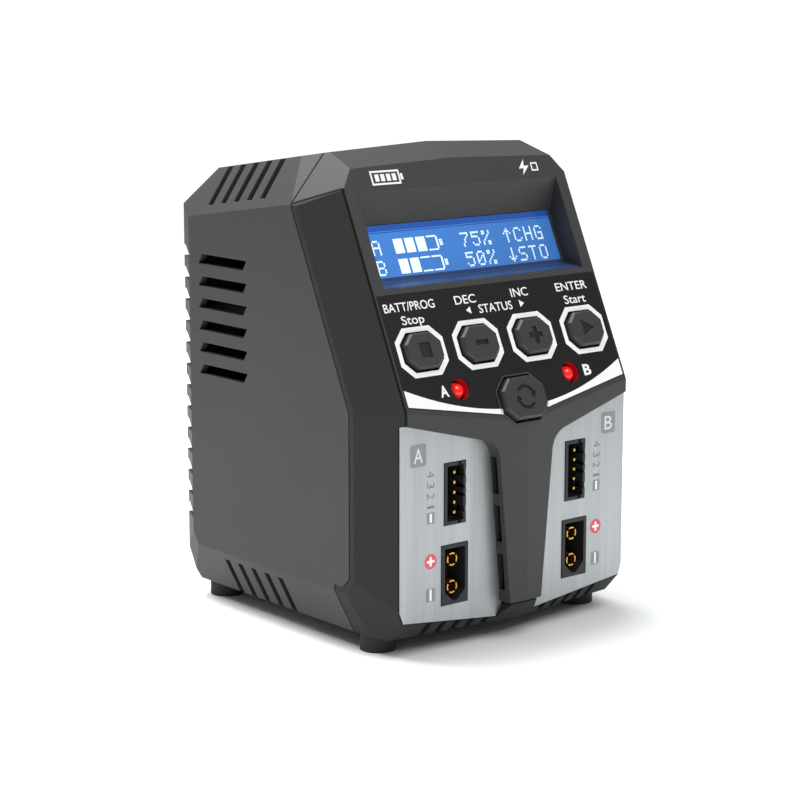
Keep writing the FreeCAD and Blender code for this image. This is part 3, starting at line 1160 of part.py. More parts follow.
# Screws: four tie the casing halves together, four hold the output board.
TIE_BACK = -REAR + 0.8
casing_screws = body("casing_screws", "front")
ties = [(side * (HALF - S.tie_inset), z) for side in (-1, 1) for z in (S.tie_low, S.tie_high)]
pad(casing_screws, [(x, z, S.screw_head_radius) for x, z in ties], TIE_BACK, TIE_BACK + S.screw_head_height)
pad(casing_screws, [(x, z, S.tie_screw_radius) for x, z in ties], TIE_BACK + S.screw_head_height,
    S.tie_engagement - S.tie_joint - 0.5)
output_screws = body("output_board_screws", "front")
BOARD_BACK = SOCKET_BACK - S.board_thickness
heads = [(x, z, S.screw_head_radius) for x, z in OUTPUT_POSTS]
shanks = [(x, z, S.screw_radius) for x, z in OUTPUT_POSTS]
pad(output_screws, heads, BOARD_BACK - S.screw_head_height, BOARD_BACK)
pad(output_screws, shanks, BOARD_BACK, SOCKET_BACK + S.post_engagement)

# Rubber feet with plugs through the base, and the blank label under it.
feet = body("rubber_feet")
spots = []
for side in (-1, 1):
    spots.append((side * S.foot_front_half, FRONT + S.foot_front_inset))
    spots.append((side * S.foot_rear_half, REAR - S.foot_rear_inset))
pad(feet, [(x, y, S.foot_radius) for x, y in spots], 0, S.foot_height)
pad(feet, [(x, y, S.foot_plug_radius) for x, y in spots], S.foot_height, S.foot_height + S.wall)
label = body("rating_label")
label_loop = centred(0, S.body_depth * 0.05, S.label_width, S.label_length)
pad(label, [label_loop], S.foot_height - S.label_thickness, S.foot_height)


# ---------------------------------------------------------------- checks, then one STEP file for each sub-part
doc.recompute()
for made in doc.Objects:
    if "Invalid" in made.State or "Error" in made.State:
        raise RuntimeError(f"{made.Label} did not compute: {made.State}")
os.makedirs("parts", exist_ok=True)
for node in NODES:
    if node.Shape.isNull() or not node.Shape.isValid() or not node.Shape.Solids:
        raise RuntimeError(f"{node.Label} has no sound solid")
    node.Shape.exportStep(f"parts/{node.Label}.step")
    print(node.Label, len(node.Shape.Solids), round(node.Shape.Volume, 1))
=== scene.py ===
import math
import bpy
import bmesh
from mathutils import Matrix, Vector


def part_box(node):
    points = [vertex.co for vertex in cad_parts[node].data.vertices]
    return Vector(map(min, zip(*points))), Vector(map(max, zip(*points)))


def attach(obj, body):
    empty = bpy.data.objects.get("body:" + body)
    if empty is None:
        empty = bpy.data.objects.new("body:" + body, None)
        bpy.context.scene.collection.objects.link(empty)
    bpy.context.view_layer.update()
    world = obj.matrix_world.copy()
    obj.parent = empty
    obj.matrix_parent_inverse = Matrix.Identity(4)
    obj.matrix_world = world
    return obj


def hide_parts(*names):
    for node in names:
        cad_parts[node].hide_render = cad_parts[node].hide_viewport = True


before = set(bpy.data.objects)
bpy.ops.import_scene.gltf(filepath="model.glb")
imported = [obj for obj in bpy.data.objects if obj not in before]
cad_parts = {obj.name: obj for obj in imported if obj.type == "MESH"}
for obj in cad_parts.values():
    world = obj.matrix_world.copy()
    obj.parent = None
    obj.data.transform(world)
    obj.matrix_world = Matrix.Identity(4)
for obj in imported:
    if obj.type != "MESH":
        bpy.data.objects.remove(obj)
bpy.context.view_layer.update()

# ---- Rear casing
# The rear casing is one injection moulding of charcoal ABS, with its air slots moulded through.
# The mould was spark-eroded, so every outer face carries a fine even grain. Four long screws hold it
# to the front frame from behind.
MM = 0.001  # the frame is in metres, and the sizes below are in millimetres


def colour(hex_text):
    """A colour written as sRGB hex, as the linear values that a shader takes."""
    values = [int(hex_text[i:i + 2], 16) / 255 for i in (1, 3, 5)]
    return tuple(v / 12.92 if v <= 0.04045 else ((v + 0.055) / 1.055) ** 2.4 for v in values) + (1.0,)


def add(material, kind, links=(), **settings):
    """Adds a shader node. Settings name its properties or its inputs; links are (input, node, output)."""
    tree = material.node_tree
    node = tree.nodes.new(kind)
    for name, value in settings.items():
        sockets = [socket for socket in node.inputs if socket.name.lower() == name.replace("_", " ")]
        if sockets:
            sockets[0].default_value = value
        else:
            setattr(node, name, value)
    for name, source, output in links:
        tree.links.new(source.outputs[output], node.inputs[name])
    return node


def start_material(name):
    """An empty material with only its output node, which is returned with it."""
    material = bpy.data.materials.new(name)
    material.use_nodes = True
    material.node_tree.nodes.clear()
    return material, material.node_tree.nodes.new("ShaderNodeOutputMaterial")


def connect(material, source, output, target, name):
    """Links an output of one shader node to an input of another."""
    material.node_tree.links.new(source.outputs[output], target.inputs[name])


def moulded(name, shade, grain, depth, roughness, edge=0.35, shine=0.3):
    """A moulded plastic: an even grain over rounded edges. Grain, depth and edge are in millimetres."""
    patch = 22.0
    material, out = start_material(name)
    place = add(material, "ShaderNodeTexCoord")
    soft_edge = add(material, "ShaderNodeBevel", samples=4, radius=edge * MM)
    pits = add(material, "ShaderNodeTexNoise", [("Vector", place, "Object")], scale=1 / (grain * MM),
               detail=2.0, roughness=0.6)
    cloud = add(material, "ShaderNodeTexNoise", [("Vector", place, "Object")], scale=1 / (patch * MM),
                detail=3.0)
    relief = add(material, "ShaderNodeBump", [("Height", pits, "Fac"), ("Normal", soft_edge, "Normal")],
                 strength=0.55, distance=depth * MM)
    gloss = add(material, "ShaderNodeMapRange", [("Value", cloud, "Fac")], to_min=roughness - 0.04,
                to_max=roughness + 0.05)
    tone = add(material, "ShaderNodeMapRange", [("Value", pits, "Fac")], from_min=0.3, from_max=0.7,
               to_min=0.90, to_max=1.10)
    base = add(material, "ShaderNodeHueSaturation", [("Value", tone, "Result")], color=colour(shade))
    shader = add(material, "ShaderNodeBsdfPrincipled",
                 [("Base Color", base, "Color"), ("Roughness", gloss, "Result"),
                  ("Normal", relief, "Normal")], ior=1.53, specular_ior_level=shine)
    connect(material, shader, "BSDF", out, "Surface")
    return material


def dress(material, *names):
    """Gives a CAD node its finish."""
    for name in names:
        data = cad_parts[name].data
        data.materials.clear()
        data.materials.append(material)
        for face in data.polygons:
            face.material_index = 0


# Spark-eroded ABS: dull and dark, with a speckle that breaks up the highlights. The real grain is about
# 0.1 mm and would not show, so it is drawn at 0.45 mm.
eroded_abs = moulded("ABS_spark_eroded_charcoal", "#3B3B3C", grain=0.45, depth=0.05, roughness=0.52)
dress(eroded_abs, "rear_casing")

# ---- Front frame
# The front frame is the second half of the shell, in the same ABS. Its cheeks run down both sides of the
# slope, and its foot closes the prow under the channel plates.
# The same ABS with hardly any shine, drawn a shade darker than the casing: painted shade, since the slope and
# its cheeks turn away from the light.
frame_abs_painted_shade = moulded("ABS_front_painted_shade", "#2E2F2F", grain=0.45, depth=0.05, roughness=0.6, shine=0.15)
dress(frame_abs_painted_shade, "front_frame")

# ---- Fascia
# The fascia is a separate ABS moulding that snaps into the front frame: visor, bezel, band and spine. Its
# tool was stoned finer, so it looks smoother than the casing. A plain pictogram is printed at each side of
# the visor.
# Finely grained ABS: an even, slightly satin charcoal.
fine_abs = moulded("ABS_fine_grain_fascia", "#383838", grain=0.35, depth=0.03, roughness=0.5)
dress(fine_abs, "fascia")

# the slope's own axes: x across, y up the slope and z out of it, from the brow above the channel plates
LEAN = math.radians(24.93)
BROW_OUT, BROW_HEIGHT = 4.6, 58.5
BROW = Vector((0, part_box("channel_plate_a")[0].y - BROW_OUT * MM, BROW_HEIGHT * MM))
slope = Matrix(((1, 0, 0, BROW.x), (0, math.sin(LEAN), -math.cos(LEAN), BROW.y),
                (0, math.cos(LEAN), math.sin(LEAN), BROW.z), (0, 0, 0, 1)))


def printed(name, shade, roughness=0.45):
    """Screen-printing ink: a thin opaque coat with a slightly uneven surface."""
    mottle_size = 0.6
    material, out = start_material(name)
    place = add(material, "ShaderNodeTexCoord")
    mottle = add(material, "ShaderNodeTexNoise", [("Vector", place, "Object")], scale=1 / (mottle_size * MM),
                 detail=2.0)
    tone = add(material, "ShaderNodeMapRange", [("Value", mottle, "Fac")], to_min=0.94, to_max=1.04)
    base = add(material, "ShaderNodeHueSaturation", [("Value", tone, "Result")], color=colour(shade))
    relief = add(material, "ShaderNodeBump", [("Height", mottle, "Fac")], strength=0.2, distance=0.01 * MM)
    shader = add(material, "ShaderNodeBsdfPrincipled",
                 [("Base Color", base, "Color"), ("Normal", relief, "Normal")], roughness=roughness)
    connect(material, shader, "BSDF", out, "Surface")
    return material


def place_piece(name, mesh, material, body="casing", record_slot="overlay_film"):
    """Puts a finished mesh in the scene and lets it ride on a body."""
    piece = bpy.data.objects.new(name, mesh)
    bpy.context.scene.collection.objects.link(piece)
    mesh.materials.clear()
    mesh.materials.append(material)
    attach(piece, body)
    return piece


def print_shapes(name, outlines, plane, material, height=0.03, thickness=0.03, **where):
    """Flat printed shapes, each a list of points in millimetres, or a pair (outer, inner) for a ring."""
    shape = bmesh.new()
    for outline in outlines:
        if isinstance(outline, tuple):
            outer, inner = [[shape.verts.new((x, y, height)) for x, y in loop] for loop in outline]
            count = len(outer)
            for i in range(count):
                j = (i + 1) % count
                shape.faces.new((outer[i], outer[j], inner[j], inner[i]))
        else:
            shape.faces.new([shape.verts.new((x, y, height)) for x, y in outline])
    bmesh.ops.recalc_face_normals(shape, faces=shape.faces)
    for face in shape.faces:
        if face.normal.z < 0:
            face.normal_flip()
    sides = bmesh.ops.extrude_face_region(shape, geom=list(shape.faces))
    moved = [v for v in sides["geom"] if isinstance(v, bmesh.types.BMVert)]
    bmesh.ops.translate(shape, verts=moved, vec=(0, 0, -thickness))
    bmesh.ops.recalc_face_normals(shape, faces=shape.faces)
    bmesh.ops.scale(shape, verts=shape.verts, vec=(MM, MM, MM))
    mesh = bpy.data.meshes.new(name)
    shape.to_mesh(mesh)
    shape.free()
    mesh.transform(plane)
    return place_piece(name, mesh, material, **where)


def oblong(x, y, width, height):
    """The corners of an upright rectangle round a centre."""
    return [(x - width / 2, y - height / 2), (x + width / 2, y - height / 2),
            (x + width / 2, y + height / 2), (x - width / 2, y + height / 2)]


# White ink: bright and matt, a little uneven from the screen.
white_ink = printed("ink_white_screen_printed", "#F1F3F3")
VISOR_ROW, BATTERY_COLUMN, BATTERY_CELL_PITCH, CHANNEL_COLUMN = 68.7, -24.2, 1.9, 28.0
battery = [(oblong(BATTERY_COLUMN, VISOR_ROW, 9.6, 3.9), oblong(BATTERY_COLUMN, VISOR_ROW, 8.6, 2.9)),
           oblong(BATTERY_COLUMN + 5.4, VISOR_ROW, 0.8, 1.7)]
battery += [oblong(BATTERY_COLUMN - 2.8 + i * BATTERY_CELL_PITCH, VISOR_ROW, 1.3, 1.9) for i in range(4)]
print_shapes("battery_pictogram", battery, slope, white_ink)
bolt = [(24.6, 70.9), (22.3, 68.4), (24.0, 68.4), (23.2, 66.5), (26.0, 69.1), (24.3, 69.1)]
channel = (oblong(CHANNEL_COLUMN, VISOR_ROW, 2.4, 2.4), oblong(CHANNEL_COLUMN, VISOR_ROW, 1.6, 1.6))
print_shapes("bolt_pictogram", [bolt], slope, white_ink)
print_shapes("channel_pictogram", [channel], slope, white_ink)

# ---- Display
# A clear acrylic window lies at the foot of the recess, over a backlit blue liquid crystal panel of two rows
# of sixteen characters. The panel is what shows, so window and picture are one glossy block here.
SCREEN_HALF, SCREEN_LOW, SCREEN_HIGH, SCREEN_DEPTH = 34.0, 42.5, 58.1, 6.2
SCREEN_WIDTH = SCREEN_HALF * 2 - 0.3


def lit(name, shade, glow, roughness=0.12, coat=0.35):
    """A surface that glows, brightest at its left end and fading to the right, as the panel does lit from
    behind by a lamp at its left end. On the ledge and the walls of the light cups the same glow is painted
    light.
    """
    material, out = start_material(name)
    place = add(material, "ShaderNodeTexCoord")
    axes = add(material, "ShaderNodeSeparateXYZ", [("Vector", place, "Object")])
    tone = add(material, "ShaderNodeMapRange", [("Value", axes, "X")], from_min=-SCREEN_HALF * MM,
               from_max=SCREEN_HALF * MM, to_min=1.12, to_max=0.84)
    base = add(material, "ShaderNodeHueSaturation", [("Value", tone, "Result")], color=colour(shade))
    shader = add(material, "ShaderNodeBsdfPrincipled",
                 [("Base Color", base, "Color"), ("Emission Color", base, "Color")],
                 roughness=roughness, coat_weight=coat, coat_roughness=0.04, emission_strength=glow)
    connect(material, shader, "BSDF", out, "Surface")
    return material


# Backlit liquid crystal under polished acrylic: a blue that glows a little, with a clear gloss over it. Its
# upper edge lies in the shade of the visor, and an open dot lets the lamp through nearly white.
backlit_blue = lit("liquid_crystal_backlit_blue", "#3A6EB2", glow=0.6, coat=0.15)
edge_blue = lit("liquid_crystal_shaded_blue", "#1C4C9A", glow=0.4)
# The ledge's navy glow is painted light: the panel's blue where it falls on the recess wall. The panel's foot
# edge is drawn in the same dim navy.
ledge_painted_glow = lit("ledge_painted_panel_glow", "#1B3762", glow=0.2, roughness=0.5, coat=0.0)
lit_dot = lit("liquid_crystal_open_dot", "#D3EBF8", glow=0.6)

pane = oblong(0, (SCREEN_LOW + SCREEN_HIGH) / 2, SCREEN_WIDTH, SCREEN_HIGH - SCREEN_LOW - 0.3)
screen = print_shapes("display_panel", [pane], slope, backlit_blue, height=-SCREEN_DEPTH - 0.06,
                      thickness=1.2, record_slot="display_glass")
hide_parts("display_window")
for name, row, width, height, blue in (
    ("display_shaded_edge", SCREEN_HIGH - 0.95, SCREEN_WIDTH, 1.6, edge_blue),
    ("display_dark_line", SCREEN_HIGH - 2.15, SCREEN_WIDTH - 0.3, 0.25, edge_blue),
    ("display_foot_edge", SCREEN_LOW + 0.75, SCREEN_WIDTH, 1.1, ledge_painted_glow),
):
    print_shapes(name, [oblong(0, row, width, height)], slope, blue, height=-SCREEN_DEPTH - 0.04,
                 record_slot="display_glass")

# the ledge in front of the window, tinted by the panel's light
LEDGE_HALF = 34.8
LEDGE_BACK, LEDGE_FRONT = (42.55, -6.15), (39.5, -0.55)
ledge = bpy.data.meshes.new("display_ledge")
corners = [(-LEDGE_HALF, *LEDGE_BACK), (LEDGE_HALF, *LEDGE_BACK), (LEDGE_HALF, *LEDGE_FRONT),
           (-LEDGE_HALF, *LEDGE_FRONT)]
ledge.from_pydata([Vector(corner) * MM for corner in corners], [], [(3, 2, 1, 0)])
ledge.transform(slope)
place_piece("display_ledge", ledge, ledge_painted_glow, record_slot="display_glass")

# the characters of the panel, five dots wide and seven high; u and d stand for arrows up and down
GLYPHS = {
    "A": "01110 10001 10001 11111 10001 10001 10001", "B": "11110 10001 10001 11110 10001 10001 11110",
    "7": "11111 00001 00010 00100 00100 01000 01000", "5": "11111 10000 11110 00001 00001 10001 01110",
    "0": "01110 10001 10011 10101 11001 10001 01110", "%": "11001 11001 00010 00100 01000 10011 10011",
    "u": "00100 01110 10101 00100 00100 00100 00100", "d": "00100 00100 00100 00100 10101 01110 00100",
    "C": "01110 10001 10000 10000 10000 10001 01110", "H": "10001 10001 10001 11111 10001 10001 10001",
    "G": "01110 10001 10000 10111 10001 10001 01111", "S": "01111 10000 10000 01110 00001 00001 11110",
    "T": "11111 00100 00100 00100 00100 00100 00100", "O": "01110 10001 10001 10001 10001 10001 01110",
    ":": "00000 00000 11000 11000 11000 00000 00000",
    " ": "",
}
# each row also has a battery of four cells: full cells are blocks, empty ones only their outline
COLUMN_PITCH, ROW_PITCH, DOT_ACROSS, DOT_UP = 3.79, 5.5, 0.56, 0.585
UPPER_ROW, LAST_COLUMN = 51.95, 15
FIRST_CELL, CAP_COLUMN, DOT_WIDE, DOT_HIGH = 2, -2.05, 0.84, 0.86
dots = []
for row, (words, full_cells) in enumerate((("A     : 75% uCHG", 3), ("B     : 50% dSTO", 2))):
    middle = UPPER_ROW - row * ROW_PITCH
    for column, sign in enumerate(words):
        left = (column - LAST_COLUMN / 2) * COLUMN_PITCH - DOT_ACROSS * 2
        top = middle + DOT_UP * 3
        for j, line in enumerate(GLYPHS[sign].split()):
            for i, on in enumerate(line):
                if on == "1":
                    dots.append(oblong(left + i * DOT_ACROSS, top - j * DOT_UP, DOT_ACROSS * DOT_WIDE,
                                       DOT_UP * DOT_HIGH))
    for cell in range(4):
        centre = (cell + FIRST_CELL - LAST_COLUMN / 2) * COLUMN_PITCH
        if cell < full_cells:
            dots.append(oblong(centre, middle, 3.05, DOT_UP * 6.8))
        else:
            dots += [oblong(centre, middle + end * DOT_UP * 3.15, 3.25, DOT_UP * 0.7) for end in (-1, 1)]
    dots.append(oblong(CAP_COLUMN * COLUMN_PITCH, middle, DOT_ACROSS, DOT_UP * 5.6))
print_shapes("display_characters", dots, slope, lit_dot, height=-SCREEN_DEPTH - 0.03, thickness=0.02,
             record_slot="display_glass")

# ---- Keypad overlay
# The overlay is a polycarbonate film let into the fascia, printed black on its underside, with white
# rings round the keys, white lettering and a white crescent along its lower edge.
KEY_ROW, KEY_PITCH, CYCLE_ROW, LIGHT_ROW, LABEL_CAP, CHANNEL_CAP = 22.04, 18.96, 6.1, 11.1, 2.35, 2.9
KEY_MIDDLES = [place_in_row * KEY_PITCH for place_in_row in (-1.5, -0.5, 0.5, 1.5)]
# half the width, half the height and the cut of the corners, outside and inside
RING_OUTER, RING_INNER = (7.85, 6.6, 3.4), (6.55, 5.3, 2.85)
CYCLE_LINE_OUTER, CYCLE_LINE_INNER = (8.25, 6.65, 3.75), (8.0, 6.4, 3.62)

# Printed polycarbonate film: near black and satin, with the faint unevenness of a glued sheet.
film, film_out = start_material("polycarbonate_film_black")
film_place = add(film, "ShaderNodeTexCoord")
film_wave = add(film, "ShaderNodeTexNoise", [("Vector", film_place, "Object")], scale=1 / (0.5 * MM),
                detail=2.0)
film_relief = add(film, "ShaderNodeBump", [("Height", film_wave, "Fac")], strength=0.25, distance=0.02 * MM)
film_shader = add(film, "ShaderNodeBsdfPrincipled", [("Normal", film_relief, "Normal")],
                  base_color=colour("#0E0E0F"), roughness=0.42, ior=1.58, specular_ior_level=0.3)
connect(film, film_shader, "BSDF", film_out, "Surface")
dress(film, "keypad_overlay")


def eight_sided(x, y, half_width, half_height, corner):
    """An upright rectangle round a centre, with its four corners cut off."""
    w, h = half_width, half_height
    return [(x - w + corner, y - h), (x + w - corner, y - h), (x + w, y - h + corner),
            (x + w, y + h - corner), (x + w - corner, y + h), (x - w + corner, y + h),
            (x - w, y + h - corner), (x - w, y - h + corner)]


rings = [(eight_sided(centre, KEY_ROW, *RING_OUTER), eight_sided(centre, KEY_ROW, *RING_INNER))
         for centre in KEY_MIDDLES]
print_shapes("key_rings", rings, slope, white_ink)

# Grey ink: a thin line round the cycle key.
grey_ink = printed("ink_grey_screen_printed", "#4A4B4C")
cycle_line = (eight_sided(0, CYCLE_ROW, *CYCLE_LINE_OUTER), eight_sided(0, CYCLE_ROW, *CYCLE_LINE_INNER))
print_shapes("cycle_key_outline", [cycle_line], slope, grey_ink)

# the crescent: an arc above, the overlay's own edge below, in two halves beside the cycle key
ARC_SIDE, ARC_MIDDLE, EDGE_SIDE, EDGE_MIDDLE = 12.74, 3.84, 8.35, 1.3
CRESCENT_START, CRESCENT_HALF, CRESCENT_STEPS = 7.7, 37.7, 12
crescents = []
for side in (-1, 1):
    upper, lower = [], []
    for i in range(CRESCENT_STEPS + 1):
        x = CRESCENT_START + (CRESCENT_HALF - CRESCENT_START) * i / CRESCENT_STEPS
        upper.append((side * x, ARC_MIDDLE + (ARC_SIDE - ARC_MIDDLE) * (x / CRESCENT_HALF) ** 2))
        lower.append((side * x, EDGE_MIDDLE + (EDGE_SIDE - EDGE_MIDDLE) * x / CRESCENT_HALF))
    crescents.append(upper + lower[::-1])
print_shapes("crescent", crescents, slope, white_ink)


def lettering(name, words, x_low, x_high, base, cap, plane, material, turn=0.0, weight=0.006, height=0.03):
    """Printed letters from x_low to x_high, on a base line, with capitals of the height cap."""
    font_cap, coat = 0.71, 0.03
    text = bpy.data.curves.new(name, "FONT")
    text.body = words
    text.offset = weight
    text.extrude = 0.5
    text.resolution_u = 4
    holder = bpy.data.objects.new(name, text)
    bpy.context.scene.collection.objects.link(holder)
    bpy.context.view_layer.update()
    mesh = bpy.data.meshes.new_from_object(holder.evaluated_get(bpy.context.evaluated_depsgraph_get()))
    bpy.data.objects.remove(holder)
    low = min(v.co.x for v in mesh.vertices)
    high = max(v.co.x for v in mesh.vertices)
    across, upright = (x_high - x_low) / (high - low), cap / font_cap
    middle, centre = (x_low + x_high) / 2, base + cap / 2
    mesh.transform(Matrix.Translation((-(low + high) / 2, -font_cap / 2, 0)))
    mesh.transform(Matrix.Diagonal((across * MM, upright * MM, coat * MM, 1)))
    seat = Matrix.Translation((middle * MM, centre * MM, (height - coat / 2) * MM))
    mesh.transform(seat @ Matrix.Rotation(turn, 4, "Z"))
    mesh.transform(plane)
    return place_piece(name, mesh, material)


for name, words, x_low, x_high, above_keys in (
    ("label_program", "BATT/PROG", -36.8, -20.1, 12.2),
    ("label_stop", "Stop", -32.2, -24.8, 8.6),
    ("label_less", "DEC", -13.2, -6.0, 12.2),
    ("label_more", "INC", 6.4, 12.4, 12.4),
    ("label_enter", "ENTER", 22.7, 34.1, 12.4),
    ("label_start", "Start", 24.5, 32.3, 8.7),
    ("label_status", "STATUS", -5.9, 5.75, 9.2),
):
    base = KEY_ROW + above_keys - LABEL_CAP / 2
    lettering(name, words, x_low, x_high, base, LABEL_CAP, slope, white_ink)
for name, words, centre in (("label_channel_a", "A", -25.0), ("label_channel_b", "B", 25.3)):
    lettering(name, words, centre - 1.35, centre + 1.35, LIGHT_ROW - CHANNEL_CAP / 2, CHANNEL_CAP, slope,
              white_ink, weight=0.03)
arrows = [[(-10.3, 31.2), (-8.7, 30.2), (-8.7, 32.2)], [(10.1, 31.3), (8.5, 32.3), (8.5, 30.3)]]
print_shapes("status_arrows", arrows, slope, white_ink)

# ---- Keys
# Five keys of black ABS stand in octagonal holes, each with a wide bevel and its sign let into its top.
# Their tool was blasted, so they are smoother than the casing.
ARM, REACH = 0.66, 2.31
TURN_OUTER, TURN_INNER, SIGN_LEVEL = 3.34, 2.46, 1.32

# Blasted ABS: a soft satin that fingers polish a little brighter than the casing.
key_abs = moulded("ABS_blasted_black_keys", "#38383A", grain=0.35, depth=0.02, roughness=0.40, edge=0.15)
# Black in the signs: painted shade, a thin near-black film laid in each sign where its relief lies in shadow.
sign_painted_shade = printed("key_sign_painted_shade", "#0C0C0D", roughness=0.55)
STOP_MIDDLE, MINUS_MIDDLE, PLUS_MIDDLE, START_MIDDLE = KEY_MIDDLES
signs = {
    "stop": [oblong(STOP_MIDDLE, KEY_ROW, 3.4, 3.86)],
    "minus": [oblong(MINUS_MIDDLE, KEY_ROW, 4.06, 2 * ARM)],
    "plus": [oblong(PLUS_MIDDLE, KEY_ROW, 2 * REACH, 2 * ARM),
             oblong(PLUS_MIDDLE, KEY_ROW + (REACH + ARM) / 2, 2 * ARM, REACH - ARM),
             oblong(PLUS_MIDDLE, KEY_ROW - (REACH + ARM) / 2, 2 * ARM, REACH - ARM)],
    "start": [[(START_MIDDLE - 1.78, KEY_ROW - 2.15), (START_MIDDLE + 2.15, KEY_ROW),
               (START_MIDDLE - 1.78, KEY_ROW + 2.15)]],
    "cycle": [],
}


def on_cycle_key(reach, degrees, turn):
    """A point of the turning arrows, at a reach and a bearing from the middle of the cycle key."""
    bearing = math.radians(degrees) + turn
    return reach * math.cos(bearing), CYCLE_ROW + reach * math.sin(bearing)


# two arrows that chase each other: an arc and an arrow head, and the same turned by half a turn
for turn in (0, math.pi):
    outer, inner = [[on_cycle_key(reach, degrees, turn) for degrees in (138, 115, 90, 65, 42, 20)]
                    for reach in (TURN_OUTER, TURN_INNER)]
    signs["cycle"].append(outer + inner[::-1])
    signs["cycle"].append([on_cycle_key(reach, degrees, turn) for reach, degrees in
                           ((4.1, 18), (2.9, -16), (1.7, 18))])
for key, outlines in signs.items():
    dress(key_abs, f"{key}_button")
    print_shapes(f"{key}_sign", outlines, slope, sign_painted_shade, height=SIGN_LEVEL, thickness=0.01,
                 body=f"{key}_key", record_slot="key_plastic")

# ---- Status lights
# Two light-emitting diodes stand on the key board and show through round cups in the fascia. Each lens is
# tinted epoxy, cast round its diode.
LIGHT_COLUMN, CUP_OUTER, CUP_INNER = 19.4, 2.86, 2.78

# Tinted epoxy: clear red with a wet shine, glowing from within.
epoxy, epoxy_out = start_material("epoxy_red_lens")
epoxy_place = add(epoxy, "ShaderNodeTexCoord")
epoxy_haze = add(epoxy, "ShaderNodeTexNoise", [("Vector", epoxy_place, "Object")], scale=1 / (1.2 * MM),
                 detail=1.0)
epoxy_tone = add(epoxy, "ShaderNodeMapRange", [("Value", epoxy_haze, "Fac")], to_min=0.85, to_max=1.1)
epoxy_base = add(epoxy, "ShaderNodeHueSaturation", [("Value", epoxy_tone, "Result")], color=colour("#DC1414"))
epoxy_shader = add(epoxy, "ShaderNodeBsdfPrincipled",
                   [("Base Color", epoxy_base, "Color"), ("Emission Color", epoxy_base, "Color")],
                   roughness=0.12, ior=1.54, coat_weight=0.5, emission_strength=0.55)
connect(epoxy, epoxy_shader, "BSDF", epoxy_out, "Surface")
dress(epoxy, "status_led_a", "status_led_b")


def circle(x, y, radius, sides=32):
    """Points round a centre."""
    return [(x + radius * math.cos(math.tau * i / sides), y + radius * math.sin(math.tau * i / sides))
            for i in range(sides)]


# The red light of the diodes on the walls of the cups, painted as a thin glossy lining that glows.
cup_painted_led_glow = lit("ABS_cup_painted_led_glow", "#8E0E12", glow=0.35, roughness=0.25)
for letter, centre in (("a", -LIGHT_COLUMN), ("b", LIGHT_COLUMN)):
    wall = (circle(centre, LIGHT_ROW, CUP_OUTER), circle(centre, LIGHT_ROW, CUP_INNER))
    print_shapes(f"cup_painted_glow_{letter}", [wall], slope, cup_painted_led_glow, height=-0.45, thickness=1.9,
                 record_slot="led_red")

# ---- Channel plates
# Each channel has a plate of aluminium sheet under the band, brushed upwards and lacquered, with grey
# and red printing beside the sockets.
LINE, LINE_LENGTH, BAND, BAND_LENGTH = 0.3, 30.0, 2.2, 120.0

# Brushed aluminium: fine upright lines that stretch each highlight sideways. The real lines are about
# 0.05 mm apart and are drawn at 0.3 mm.
brushed, brushed_out = start_material("aluminium_brushed_upright")
brushed_place = add(brushed, "ShaderNodeTexCoord")
brushed_map = add(brushed, "ShaderNodeMapping", [("Vector", brushed_place, "Object")],
                  scale=(1 / (LINE * MM), 1 / (LINE * MM), 1 / (LINE_LENGTH * MM)))
lines = add(brushed, "ShaderNodeTexNoise", [("Vector", brushed_map, "Vector")], scale=1.0, detail=3.0,
            roughness=0.7)
wide_map = add(brushed, "ShaderNodeMapping", [("Vector", brushed_place, "Object")],
               scale=(1 / (BAND * MM), 1 / (BAND * MM), 1 / (BAND_LENGTH * MM)))
wide_lines = add(brushed, "ShaderNodeTexNoise", [("Vector", wide_map, "Vector")], scale=1.0, detail=2.0)
line_tone = add(brushed, "ShaderNodeMapRange", [("Value", lines, "Fac")], from_min=0.25, from_max=0.75,
                to_min=0.86, to_max=1.10)
wide_tone = add(brushed, "ShaderNodeMapRange", [("Value", wide_lines, "Fac")], from_min=0.3, from_max=0.7,
                to_min=0.93, to_max=1.05)
both_tones = add(brushed, "ShaderNodeMath", operation="MULTIPLY")
connect(brushed, line_tone, "Result", both_tones, 0)
connect(brushed, wide_tone, "Result", both_tones, 1)
brushed_base = add(brushed, "ShaderNodeHueSaturation", [("Value", both_tones, "Value")],
                   color=colour("#A8ACAD"))
line_gloss = add(brushed, "ShaderNodeMapRange", [("Value", lines, "Fac")], to_min=0.34, to_max=0.50)
line_relief = add(brushed, "ShaderNodeBump", [("Height", lines, "Fac")], strength=0.35, distance=0.02 * MM)
brushed_shader = add(brushed, "ShaderNodeBsdfPrincipled",
                     [("Base Color", brushed_base, "Color"), ("Roughness", line_gloss, "Result"),
                      ("Normal", line_relief, "Normal")], metallic=0.85, anisotropic=0.5)
connect(brushed, brushed_shader, "BSDF", brushed_out, "Surface")
dress(brushed, "channel_plate_a", "channel_plate_b")

# Plate ink: thin and flat, a mid grey for the boxes, a darker one for the digits, a pale one for the letters
# and a soft red for the positive pole.
plate_grey = printed("ink_grey_on_aluminium", "#84888A")
digit_grey = printed("ink_fine_grey_on_aluminium", "#6F7375")
plate_red = printed("ink_red_on_aluminium", "#D9525B")
letter_grey = printed("ink_pale_grey_on_aluminium", "#D2D6D7")
plate_low, plate_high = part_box("channel_plate_a")
plate_plane = Matrix(((1, 0, 0, 0), (0, 0, -1, plate_low.y), (0, 1, 0, 0), (0, 0, 0, 1)))


def rounded(x, y, width, height, corner, steps=4):
    """A rectangle with round corners."""
    points = []
    for quarter, (sx, sy) in enumerate(((1, 1), (-1, 1), (-1, -1), (1, -1))):
        cx, cy = x + sx * (width / 2 - corner), y + sy * (height / 2 - corner)
        for i in range(steps + 1):
            angle = math.pi / 2 * (quarter + i / steps)
            points.append((cx + corner * math.cos(angle), cy + corner * math.sin(angle)))
    return points


